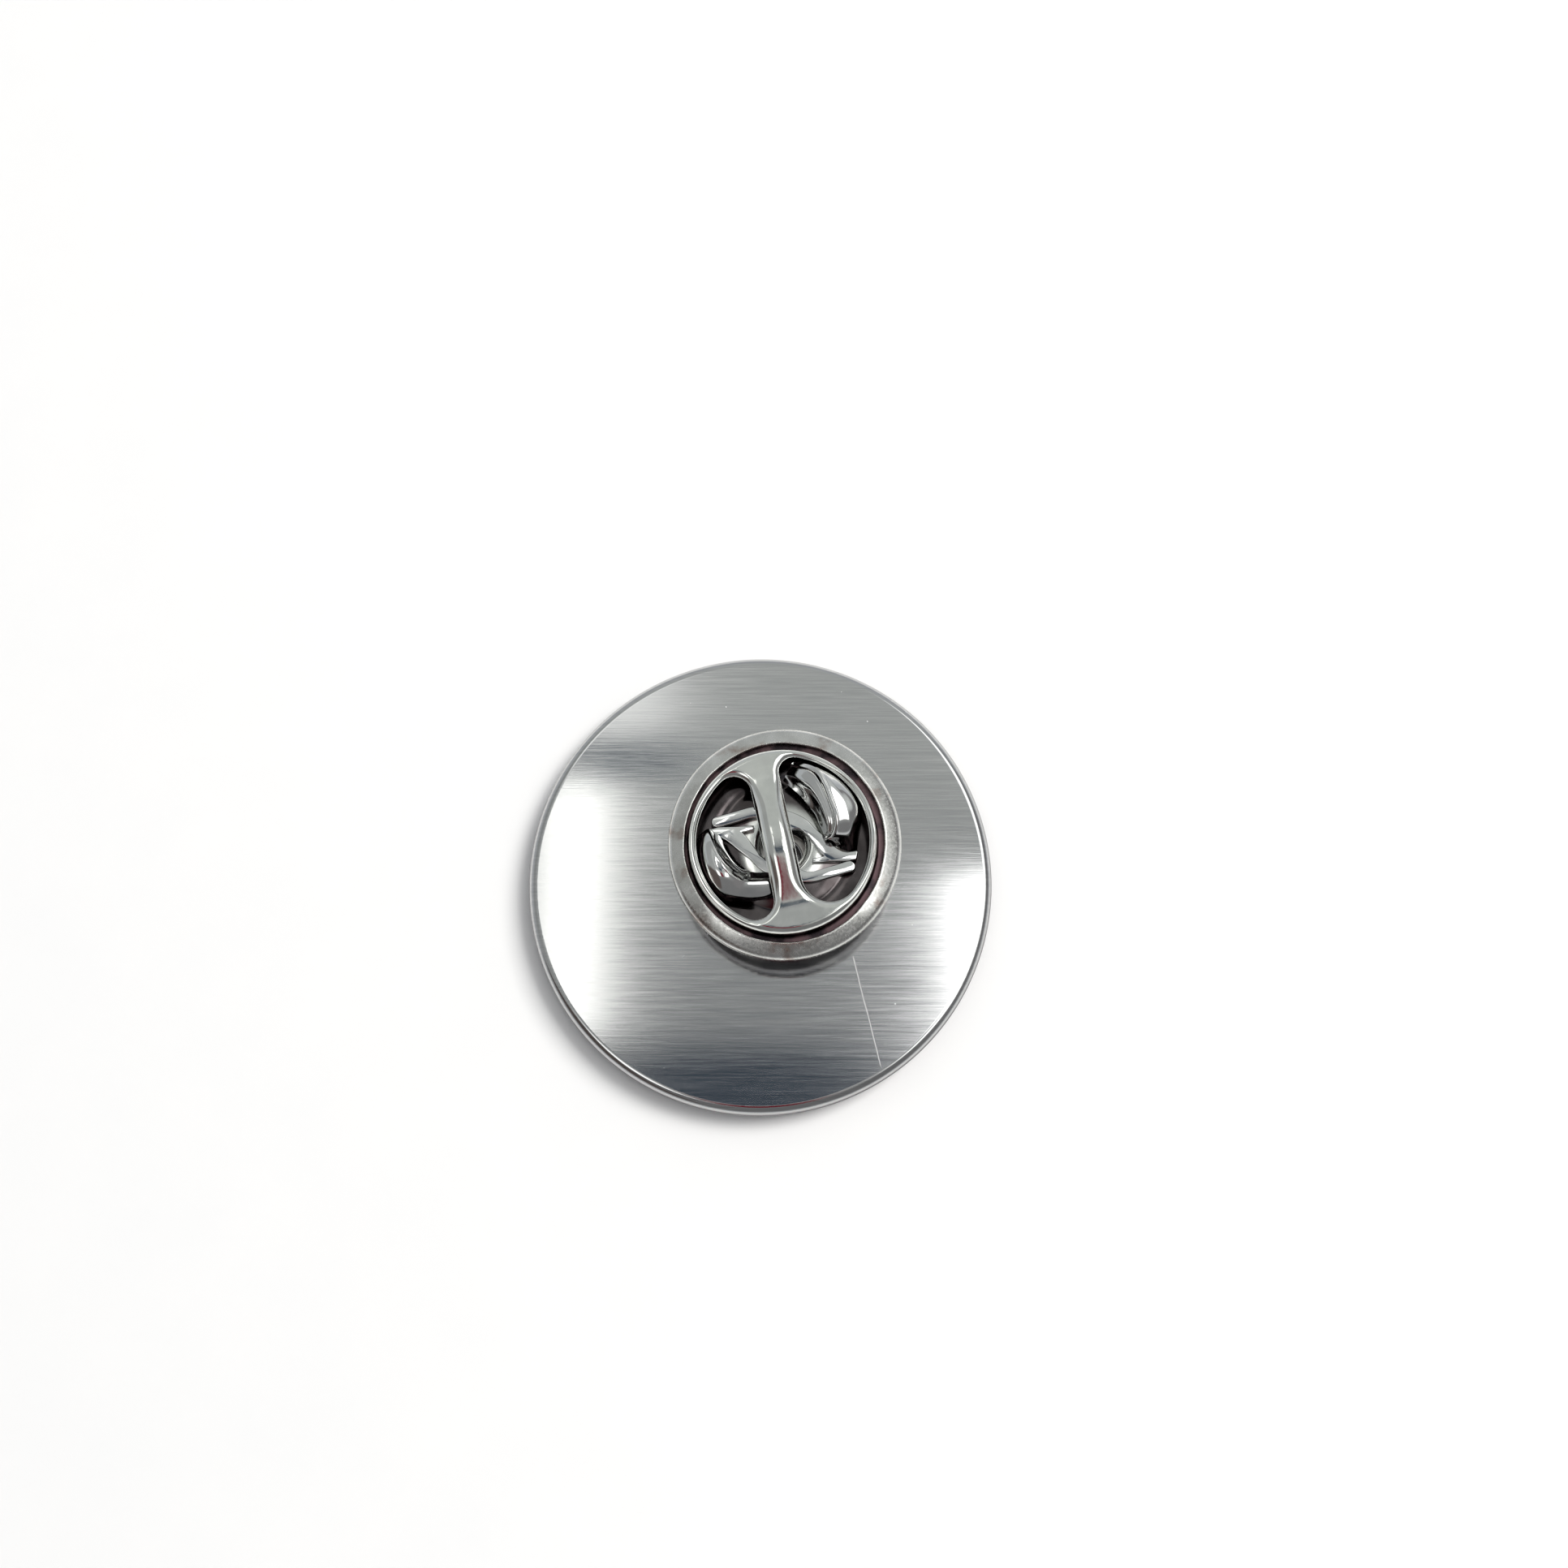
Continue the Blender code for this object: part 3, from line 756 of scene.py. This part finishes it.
def inside(outline, places):
    """True for each place inside a closed outline."""
    x, y = places[:, 0:1], places[:, 1:2]
    x1, y1 = outline[:, 0], outline[:, 1]
    x2, y2 = np.roll(x1, -1), np.roll(y1, -1)
    crosses = (y1 > y) != (y2 > y)
    with np.errstate(divide="ignore", invalid="ignore"):
        at = x1 + (y - y1) * (x2 - x1) / (y2 - y1)
    return (crosses & (x < at)).sum(1) % 2 == 1


def cap_height(places, outlines):
    """Height of the cap's outside: a ring, the strap that arches over it, and rolled edges."""
    cos, sin = math.cos(BRIDGE_LEAN), math.sin(BRIDGE_LEAN)
    along = -places[:, 0] * sin + places[:, 1] * cos
    radius = np.linalg.norm(places, axis=1)
    reach = np.clip(np.abs(along) / STRAP_REACH, 0, 1)
    arch = (1 - reach**2) ** 2
    ring = np.clip((radius - SHOULDER_RADIUS + SHOULDER_ROUND) / SHOULDER_ROUND, 0, 0.9999)
    shoulder = SHOULDER_ROUND * (1 - np.sqrt(1 - ring**2))
    blend = np.clip((np.abs(along) - 1.8) / 1.8, 0, 1)
    blend = blend * blend * (3 - 2 * blend)
    width, drop = (s * (1 - blend) + r * blend for s, r in zip(STRAP_ROLL, RING_ROLL))
    edge = np.clip(1 - gap_to(outlines, places) / width, 0, 1)
    roll = drop * (1 - np.sqrt(1 - 0.93 * edge**2)) / (1 - math.sqrt(0.07))
    return RING_LEVEL + (BRIDGE_TOP - RING_LEVEL) * arch - shoulder - roll


def surface_normals(places, outlines):
    """Unit normals of the cap's outside, from its height a short step either way."""
    step = 0.004
    slope = []
    for shift in ((step, 0.0), (0.0, step)):
        high = cap_height(places + shift, outlines)
        low = cap_height(places - shift, outlines)
        slope.append((high - low) / (2 * step))
    normals = np.stack([-slope[0], -slope[1], np.ones(len(places))], 1)
    return normals / np.linalg.norm(normals, axis=1)[:, None]


def loop_outward(loop, gap):
    """A closed anticlockwise loop moved outwards by a gap."""
    along = np.roll(loop, -1, axis=0) - np.roll(loop, 1, axis=0)
    out = np.stack([along[:, 1], -along[:, 0]], 1)
    return loop + gap * out / np.linalg.norm(out, axis=1)[:, None]


def cap_places(outlines, rim):
    """Where the cap's top gets its points: both edges, rows beside them and a fill between."""
    rows = []
    for gap in (0.03, 0.07, 0.12, 0.18, 0.25, 0.33):
        rows += [loop_outward(outline, gap) for outline in outlines]
    pitch = 0.09
    steps = np.arange(-SHOULDER_RADIUS, SHOULDER_RADIUS, pitch)
    fill = np.array([(x + (i % 2) * pitch / 2, y) for i, y in enumerate(steps) for x in steps])
    clear = gap_to(outlines, fill) > 0.38
    for outline in outlines:
        clear &= ~inside(outline, fill)
    rim_radius = np.linalg.norm(rim[0])
    rows.append(fill[clear & (np.linalg.norm(fill, axis=1) < rim_radius - 0.05)])
    rows = np.concatenate(rows)
    return rows[np.linalg.norm(rows, axis=1) < rim_radius - 0.03]


def cap_top(outlines):
    """The cap's top out to its shoulder: points, triangles and how many points its rim has."""
    rim = np.array(arc((0, 0), SHOULDER_RADIUS - 0.10, 0, 360, ROUND_SEGMENTS)[:-1])
    edges = []
    start = 0
    for loop in (rim, *outlines):
        count = len(loop)
        edges += [(start + i, start + (i + 1) % count) for i in range(count)]
        start += count
    places = np.concatenate([rim, *outlines, cap_places(outlines, rim)])
    made = delaunay_2d_cdt([Vector(p) for p in places], edges, [], 0, 1e-6)
    places = np.array(made[0])
    middles = np.array([places[list(f)].mean(0) for f in made[2]])
    keep = np.linalg.norm(middles, axis=1) < np.linalg.norm(rim[0])
    for outline in outlines:
        keep &= ~inside(outline, middles)
    faces = [tuple(f) for f, k in zip(made[2], keep) if k]
    return places, faces, len(rim)


def cap_skirt():
    """(radius, height) below the shoulder: the wall, its foot and the flange."""
    flange_top = FLANGE_BOTTOM + CAP_SHEET
    wall = SHOULDER_RADIUS
    low = RING_LEVEL - SHOULDER_ROUND
    rows = [(wall - SHOULDER_ROUND * (1 - math.cos(a)), low + SHOULDER_ROUND * math.sin(a))
            for a in np.radians((38, 31, 24, 16, 8, 0))]
    rows += [(wall, low - 0.12), (wall, flange_top + 0.2)]
    rows += [(wall + 0.16 * (1 - math.cos(a)), flange_top + 0.16 * (1 - math.sin(a)))
             for a in np.radians((20, 45, 70, 90))]
    return rows + [(FLANGE_RADIUS - 0.3, flange_top), (FLANGE_RADIUS - 0.08, flange_top)]


def make_cap(outside, within, groove):
    """One stamping, as a thick skin: ring, bridge strap, shoulder, wall and flange."""
    right = even_loop(turn_outline(opening_outline(*RIGHT_OPENING), BRIDGE_LEAN), 0.07)
    left = even_loop(turn_outline(opening_outline(*LEFT_OPENING), BRIDGE_LEAN + math.pi), 0.07)
    outlines = [right, left]
    places, faces, rim = cap_top(outlines)
    heights = cap_height(places, outlines)
    normals = surface_normals(places, outlines)
    points = [(x, y, z) for (x, y), z in zip(places, heights)]
    skirt = cap_skirt()
    rows = turned(skirt, rim)
    start = len(points)
    points += rows
    rings = [range(rim)] + [range(start + k * rim, start + (k + 1) * rim) for k in range(len(skirt))]
    for upper, lower in zip(rings, rings[1:]):
        faces += [(upper[i], lower[i], lower[(i + 1) % rim], upper[(i + 1) % rim]) for i in range(rim)]
    cap = new_object("stamped_cap", on_axis(points), faces)
    if sum(f.normal.z for f in cap.data.polygons) < 0:
        cap.data.flip_normals()
    finish_piece(cap, [outside, within, groove], "cap", ["clutch_cap"], 60)
    # Faces below the groove's top get painted shade.
    for face in cap.data.polygons:
        if face.center.z / MM < GROOVE_TOP:
            face.material_index = 2
    thicken = cap.modifiers.new("sheet", "SOLIDIFY")
    thicken.thickness = CAP_SKIN * MM
    thicken.offset = -1.0
    thicken.use_even_offset = False
    # The sheet's inner side gets painted shade too.
    thicken.material_offset = 1
    whole = bpy.context.evaluated_depsgraph_get()
    cap.data = bpy.data.meshes.new_from_object(cap.evaluated_get(whole))
    cap.modifiers.clear()
    all_normals = [Vector(n.vector) for n in cap.data.vertex_normals]
    for i, place in enumerate(places):
        if np.linalg.norm(place) < SHOULDER_RADIUS - 0.12:
            all_normals[i] = Vector(normals[i])
    cap.data.normals_split_custom_set_from_vertices(all_normals)


# Spring


def rounded_prism(name, outline, bottom, top, rounding):
    """An outline raised from bottom to top with its edges rounded over."""
    obj = new_object(name, *prism(outline, bottom, top))
    work = bmesh.new()
    work.from_mesh(obj.data)
    flat = [e for e in work.edges if abs(e.verts[0].co.z - e.verts[1].co.z) < 1e-7]
    bmesh.ops.bevel(work, geom=flat, offset=rounding * MM, segments=3, profile=0.5, affect="EDGES")
    work.to_mesh(obj.data)
    work.free()
    return obj


def jaw_outline():
    """The upper jaw: a round-ended tongue on the left, a nose at the post, and an arm to the right."""
    tongue_end = arc((-3.42, 1.17), 0.28, 105, 285, 8)
    tongue_low = smooth_path([(-3.3, 0.9), (-2.4, 1.17), (-1.5, 1.42), (-0.85, 1.3), (-0.5, 0.75)], 6)
    nose = arc((0, 0), POST_RADIUS + JAW_CLEARANCE, 112, 60, 8)
    arm_low = smooth_path([(0.52, 0.78), (0.9, 0.75), (1.26, 0.42), (1.58, 0.0), (1.87, -0.39),
                           (2.1, -0.64)], 6)
    tab = [(1.52, -0.74), (1.5, -0.98), (2.4, -0.92), (3.3, -0.9), (3.75, -0.8)]
    back = smooth_path([(3.85, -0.35), (3.3, -0.36), (2.83, -0.12), (2.3, 0.3), (1.67, 0.80), (1.19, 1.3),
                        (0.5, 1.66), (-0.5, 1.96), (-1.5, 1.98), (-2.5, 1.71), (-3.42, 1.46)], 6)
    return [*tongue_end, *tongue_low[1:].tolist(), *nose, *arm_low.tolist(), *tab, *back[:-1].tolist()]


def make_jaws(metal):
    """Both jaws from one outline, the lower one turned half round."""
    upper = jaw_outline()
    for name, body, node, turn in (("spring_jaw_upper", "upper_jaw", "jaw_upper", 0.0),
                                   ("spring_jaw_lower", "lower_jaw", "jaw_lower", math.pi)):
        outline = [(x + AXIS.x, y + AXIS.y) for x, y in turn_outline(upper, turn)]
        jaw = rounded_prism(name, outline, JAW_BOTTOM + JAW_LIFT, JAW_TOP, 0.05)
        finish_piece(jaw, [metal], body, [node], 50)


def wing_surface(rails):
    """A smooth grid of points through rails that run the wing's length, each a list of knots."""
    along, across = WING_STEPS
    lines = [smooth_path(rail, along) for rail in rails]
    surface = np.array([smooth_path(section, across) for section in zip(*lines)])
    for _ in range(WING_SMOOTHING):
        surface[1:-1] = (surface[:-2] + 2 * surface[1:-1] + surface[2:]) / 4
    return surface


def folded(ridge, foot, steps):
    """Rails between a wing's ridge and its foot. A step is how far across one lies, and how high."""
    ridge = np.array(ridge)
    foot = np.array(foot)
    rails = []
    for across, height in steps:
        rail = ridge + (foot - ridge) * across
        rail[:, 2] = foot[:, 2] + (ridge[:, 2] - foot[:, 2]) * height
        rails.append(rail.tolist())
    return rails


def valley(outer, ridge):
    """A shallow rail beside the ridge, which makes the ridge a raised bead."""
    rail = np.array(outer) * 0.15 + np.array(ridge) * 0.85
    rail[1:-1, 2] -= 0.025
    return rail.tolist()


def shell(surface, thickness):
    """Points and faces of a thick sheet under an open grid of points."""
    rows, columns = surface.shape[:2]
    along = np.gradient(surface, axis=0)
    across = np.gradient(surface, axis=1)
    normals = np.cross(along, across)
    normals /= np.linalg.norm(normals, axis=2)[:, :, None]
    if normals[:, :, 2].sum() < 0:
        normals = -normals
    under = surface - thickness * normals
    count = rows * columns
    points = np.concatenate([surface.reshape(-1, 3), under.reshape(-1, 3)]).tolist()
    faces = grid_faces(rows, columns)
    faces += [tuple(count + i for i in reversed(f)) for f in faces]
    edge = [i * columns for i in range(rows)] + [(rows - 1) * columns + j for j in range(1, columns)]
    edge += [i * columns + columns - 1 for i in range(rows - 2, -1, -1)]
    edge += list(range(columns - 2, 0, -1))
    for i, a in enumerate(edge):
        b = edge[(i + 1) % len(edge)]
        faces.append((a, b, count + b, count + a))
    return points, faces


def make_wings(metal):
    """The finger wings: sheet lobes bent up by hand, so each has its own rails of (x, y, z) knots.

    The rails go from the outer edge over the ridge to the foot beside the jaws.
    """
    right = [
        [(1.45, 4.17, 5.95), (2.28, 3.77, 6.05), (2.97, 3.25, 6.10), (3.67, 2.43, 6.10),
         (4.12, 1.53, 6.05), (3.95, 0.85, 6.00), (3.74, 0.20, 5.95), (3.70, -0.30, 5.90),
         (3.15, -0.42, 5.88), (2.68, -0.15, 5.90)],
        [(1.15, 4.20, 6.10), (1.98, 3.83, 6.50), (2.72, 3.33, 6.66), (3.44, 2.54, 6.80),
         (3.94, 1.62, 6.82), (3.80, 0.92, 6.66), (3.62, 0.36, 6.44), (3.52, -0.06, 6.22),
         (3.05, -0.16, 6.12), (2.62, 0.00, 6.12)],
        [(0.85, 4.25, 6.20), (1.55, 3.95, 6.74), (2.25, 3.40, 6.98), (2.85, 2.60, 7.09),
         (3.22, 1.78, 7.11), (3.42, 1.04, 7.05), (3.40, 0.50, 6.82), (3.12, 0.15, 6.54),
         (2.75, 0.08, 6.42), (2.48, 0.05, 6.33)],
        [(0.55, 4.22, 6.20), (1.22, 3.93, 6.85), (1.80, 3.62, 7.12), (2.22, 2.90, 7.22),
         (2.50, 2.10, 7.25), (2.74, 1.35, 7.23), (2.80, 0.75, 7.12), (2.66, 0.30, 6.92),
         (2.40, 0.08, 6.70), (2.15, 0.12, 6.50)],
        [(0.42, 4.08, 6.15), (1.14, 3.82, 6.82), (1.70, 3.52, 7.08), (2.09, 2.84, 7.18),
         (2.36, 2.05, 7.20), (2.60, 1.33, 7.18), (2.66, 0.80, 7.07), (2.54, 0.42, 6.86),
         (2.34, 0.22, 6.62), (2.12, 0.24, 6.42)],
        [(0.00, 3.30, 5.84), (0.65, 2.72, 5.92), (1.05, 2.32, 5.92), (1.40, 1.85, 5.92),
         (1.65, 1.45, 5.92), (1.82, 1.05, 5.92), (1.95, 0.78, 5.92), (2.02, 0.60, 5.92),
         (2.05, 0.52, 5.92), (2.05, 0.48, 5.92)],
    ]
    left = [
        [(-4.10, 0.52, 5.95), (-4.36, 0.30, 6.05), (-4.43, -0.25, 6.15), (-4.34, -0.95, 6.20),
         (-4.07, -1.75, 6.20), (-3.62, -2.48, 6.18), (-3.05, -2.98, 6.12), (-2.30, -3.05, 6.08),
         (-1.62, -3.02, 6.00), (-1.00, -2.92, 5.95), (-0.30, -2.75, 5.90)],
        [(-4.04, 0.58, 6.10), (-4.29, 0.32, 6.30), (-4.33, -0.22, 6.55), (-4.24, -0.90, 6.64),
         (-3.98, -1.68, 6.66), (-3.52, -2.38, 6.62), (-2.95, -2.80, 6.46), (-2.25, -2.80, 6.35),
         (-1.60, -2.80, 6.20), (-1.00, -2.74, 6.10), (-0.30, -2.60, 6.05)],
        [(-3.94, 0.63, 6.25), (-4.10, 0.36, 6.58), (-3.98, -0.20, 6.88), (-3.82, -0.82, 6.98),
         (-3.52, -1.48, 7.02), (-3.10, -2.05, 6.98), (-2.65, -2.36, 6.78), (-2.15, -2.48, 6.52),
         (-1.60, -2.48, 6.34), (-1.00, -2.42, 6.22), (-0.30, -2.32, 6.15)],
        [(-3.82, 0.66, 6.35), (-3.88, 0.40, 6.72), (-3.68, -0.12, 7.00), (-3.46, -0.68, 7.07),
         (-3.12, -1.28, 7.08), (-2.78, -1.78, 7.02), (-2.40, -2.08, 6.82), (-2.02, -2.16, 6.58),
         (-1.58, -2.16, 6.42), (-1.00, -2.10, 6.30), (-0.30, -2.02, 6.22)],
        [(-3.70, 0.65, 6.30), (-3.70, 0.42, 6.66), (-3.54, -0.06, 6.95), (-3.33, -0.60, 7.03),
         (-3.00, -1.20, 7.04), (-2.66, -1.68, 6.97), (-2.30, -1.95, 6.77), (-1.97, -2.03, 6.53),
         (-1.55, -2.04, 6.37), (-1.00, -1.99, 6.26), (-0.30, -1.92, 6.18)],
        [(-3.60, 0.62, 6.10), (-3.46, 0.44, 6.28), (-3.30, 0.05, 6.45), (-3.02, -0.48, 6.50),
         (-2.66, -1.02, 6.52), (-2.32, -1.42, 6.48), (-2.02, -1.66, 6.35), (-1.78, -1.78, 6.22),
         (-1.45, -1.82, 6.14), (-1.00, -1.80, 6.08), (-0.30, -1.74, 6.02)],
        [(-3.50, 0.58, 5.92), (-3.28, 0.46, 5.92), (-3.10, 0.12, 5.92), (-2.80, -0.36, 5.92),
         (-2.42, -0.86, 5.92), (-2.10, -1.18, 5.92), (-1.85, -1.38, 5.92), (-1.64, -1.48, 5.92),
         (-1.38, -1.52, 5.92), (-0.95, -1.52, 5.92), (-0.30, -1.50, 5.92)],
    ]
    # Behind the right wing's ridge: a steep step, a narrow shelf and a steep drop.
    right[5:5] = folded(right[4], right[5], ((0.14, 0.81), (0.30, 0.77), (0.55, 0.68), (0.80, 0.28)))
    right.insert(3, valley(right[2], right[3]))
    for name, body, node, rails in (("spring_wing_right", "right_wing", "wing_right", right),
                                    ("spring_wing_left", "left_wing", "wing_left", left)):
        points, faces = shell(wing_surface(rails), SPRING_SHEET)
        wing = new_object(name, on_axis(points), faces)
        finish_piece(wing, [metal], body, [node], 50)


# Studio


def make_floor():
    """A wide pale sheet under the pin."""
    reach = 1500
    corners = [(-reach, -reach, 0), (reach, -reach, 0), (reach, reach, 0), (-reach, reach, 0)]
    floor = new_object("floor", corners, [(0, 1, 2, 3)])
    made = new_material("white_paper")
    made.set(Base_Color=made.mix(made.noise((0.2, 0.2, 0.2)), (0.86, 0.865, 0.87), (0.89, 0.89, 0.89)))
    made.set(Roughness=0.9, Specular_IOR_Level=0.2)
    floor.data.materials.append(made.owner)


def make_world():
    """Soft surroundings as the metal sees them, and a plain pale backdrop behind the pin."""
    made = Shader(bpy.data.worlds.new("studio"))
    bpy.context.scene.world = made.owner
    coords = made.tree.nodes.new("ShaderNodeTexCoord")
    x, y, z = made.split(coords.outputs["Generated"])
    up = made.math("MAXIMUM", z, 0.02)
    side = made.math("DIVIDE", x, up)
    ahead = made.math("DIVIDE", y, up)

    def between(value, low, high, soft):
        """1 from low to high, with soft ends."""
        rise = made.ramp(value, low - soft, low + soft)
        return made.math("MULTIPLY", rise, made.ramp(value, high - soft, high + soft, 1.0, 0.0))

    def patch(left, right, near, far, soft):
        """1 inside a rectangle of the sky, given by its slopes from straight up."""
        return made.math("MULTIPLY", between(side, left, right, soft), between(ahead, near, far, soft))

    middle = made.mix(made.ramp(ahead, 0.04, 0.30), (0.31, 0.32, 0.33), (0.53, 0.55, 0.54))
    # Each patch covers those before it: left, right, near, far and softness, then its colour.
    patches = [
        (-1.60, -0.40, -0.40, 0.90, 0.12, (0.38, 0.39, 0.39)),
        (-0.50, -0.22, -0.42, -0.14, 0.04, (2.0, 2.0, 2.0)),
        (0.95, 3.00, -1.20, 1.40, 0.10, (0.22, 0.215, 0.22)),
        (-2.20, -0.60, -2.20, -0.30, 0.08, (0.11, 0.09, 0.085)),
        (-0.30, 0.38, -0.02, 0.90, 0.04, middle),
        (-0.30, -0.10, 0.292, 0.42, 0.012, (1.45, 1.46, 1.44)),
        (-0.188, -0.147, 0.065, 0.257, 0.012, (3.8, 3.8, 3.7)),
        (-0.17, -0.085, 0.26, 0.284, 0.006, (0.12, 0.15, 0.19)),
        (0.109, 0.40, 0.03, 0.185, 0.007, (3.9, 3.9, 3.9)),
        (0.24, 0.72, -0.26, 0.62, 0.03, (2.4, 2.4, 2.4)),
        (-0.125, 0.06, -0.04, 0.06, 0.010, (0.05, 0.068, 0.095)),
    ]
    sky = made.mix(made.ramp(z, 0.15, 0.9), (0.46, 0.48, 0.51), (0.58, 0.60, 0.59))
    sky = made.mix(made.ramp(y, -0.5, 0.1, 1.0, 0.0), sky, (0.20, 0.20, 0.205))
    for *edges, colour in patches:
        sky = made.mix(patch(*edges), sky, colour)
    slant = made.math("MULTIPLY_ADD", ahead, 0.3, side)
    wedge = made.math("MULTIPLY", patch(-0.125, 0.110, -0.36, -0.08, 0.015),
                      made.ramp(slant, 0.0, 0.03, 1.0, 0.0))
    sky = made.mix(wedge, sky, (0.17, 0.006, 0.022))
    sky = made.mix(made.ramp(z, 0.10, 0.36, 0.85, 0.0), sky, (0.70, 0.715, 0.73))
    backdrop = made.mix(made.ramp(z, 0.0, 0.5), (0.70, 0.715, 0.73), (0.60, 0.615, 0.63))
    seen = made.tree.nodes.new("ShaderNodeLightPath").outputs["Is Camera Ray"]
    made.put(made.tree.nodes["Background"].inputs["Color"], made.mix(seen, sky, backdrop))


def add_lamp(name, place, size, power, colour):
    """A soft lamp aimed at the pin. It lights the floor and enamel, and isn't seen in the metal."""
    data = bpy.data.lights.new(name, "AREA")
    data.energy = power
    data.color = colour
    data.size = size * MM
    lamp = bpy.data.objects.new(name, data)
    bpy.context.scene.collection.objects.link(lamp)
    lamp.location = Vector(place) * MM
    lamp.rotation_euler = (-lamp.location).to_track_quat("-Z", "Y").to_euler()
    lamp.visible_glossy = False


def make_camera():
    """Looks down from 75 mm above the floor, leaning from the near side."""
    data = bpy.data.cameras.new("camera")
    data.lens = 31.72
    data.sensor_width = 36.0
    data.clip_start = 1 * MM
    data.clip_end = 10000 * MM
    camera = bpy.data.objects.new("camera", data)
    camera.location = Vector((2.20, -13.38, 75.05)) * MM
    camera.rotation_euler = (math.radians(14.2), math.radians(0.70), 0.0)
    bpy.context.scene.collection.objects.link(camera)
    bpy.context.scene.camera = camera


def main():
    nickel = bright_nickel("bright_nickel", (0.70, 0.71, 0.68), (0.79, 0.80, 0.76), 0.10, 0.0025)
    spring = bright_nickel("spring_nickel", (0.70, 0.71, 0.70), (0.79, 0.79, 0.77), 0.08, 0.002)
    # Painted shade for the cup's underside, which faces the plate.
    underside_shade = bright_nickel("underside_painted_shade", (0.26, 0.26, 0.27), (0.36, 0.36, 0.36), 0.20, 0.006)
    colours = {
        "hub": (enamel("enamel_cream", (0.80, 0.72, 0.54), (0.88, 0.82, 0.66)), "enamel_cream"),
        "petal": (enamel("enamel_coral", (0.62, 0.09, 0.055), (0.74, 0.15, 0.09)), "enamel_coral"),
        "gap": (enamel("enamel_teal", (0.012, 0.22, 0.24), (0.02, 0.30, 0.32)), "enamel_teal"),
        "ring": (enamel("enamel_blue", (0.012, 0.045, 0.16), (0.02, 0.07, 0.22)), "enamel_blue"),
    }
    make_camera()
    make_floor()
    make_world()
    add_lamp("key", (380, 190, 520), 300, 3.75, (1.0, 0.98, 0.95))
    make_plate(brushed_metal())
    make_enamels(colours)
    make_post(drawn_wire())
    make_braze(braze_metal())
    make_cup(nickel, stained_nickel(), underside_shade, floor_nickel())
    # Painted shade for the cap's underside and its groove.
    make_cap(nickel, painted_shade_metal("cap_underside_painted_shade", 1.0), painted_shade_metal("groove_painted_shade", 1.15))
    make_jaws(spring)
    make_wings(spring)
    bpy.context.scene.view_settings.view_transform = "Standard"


main()
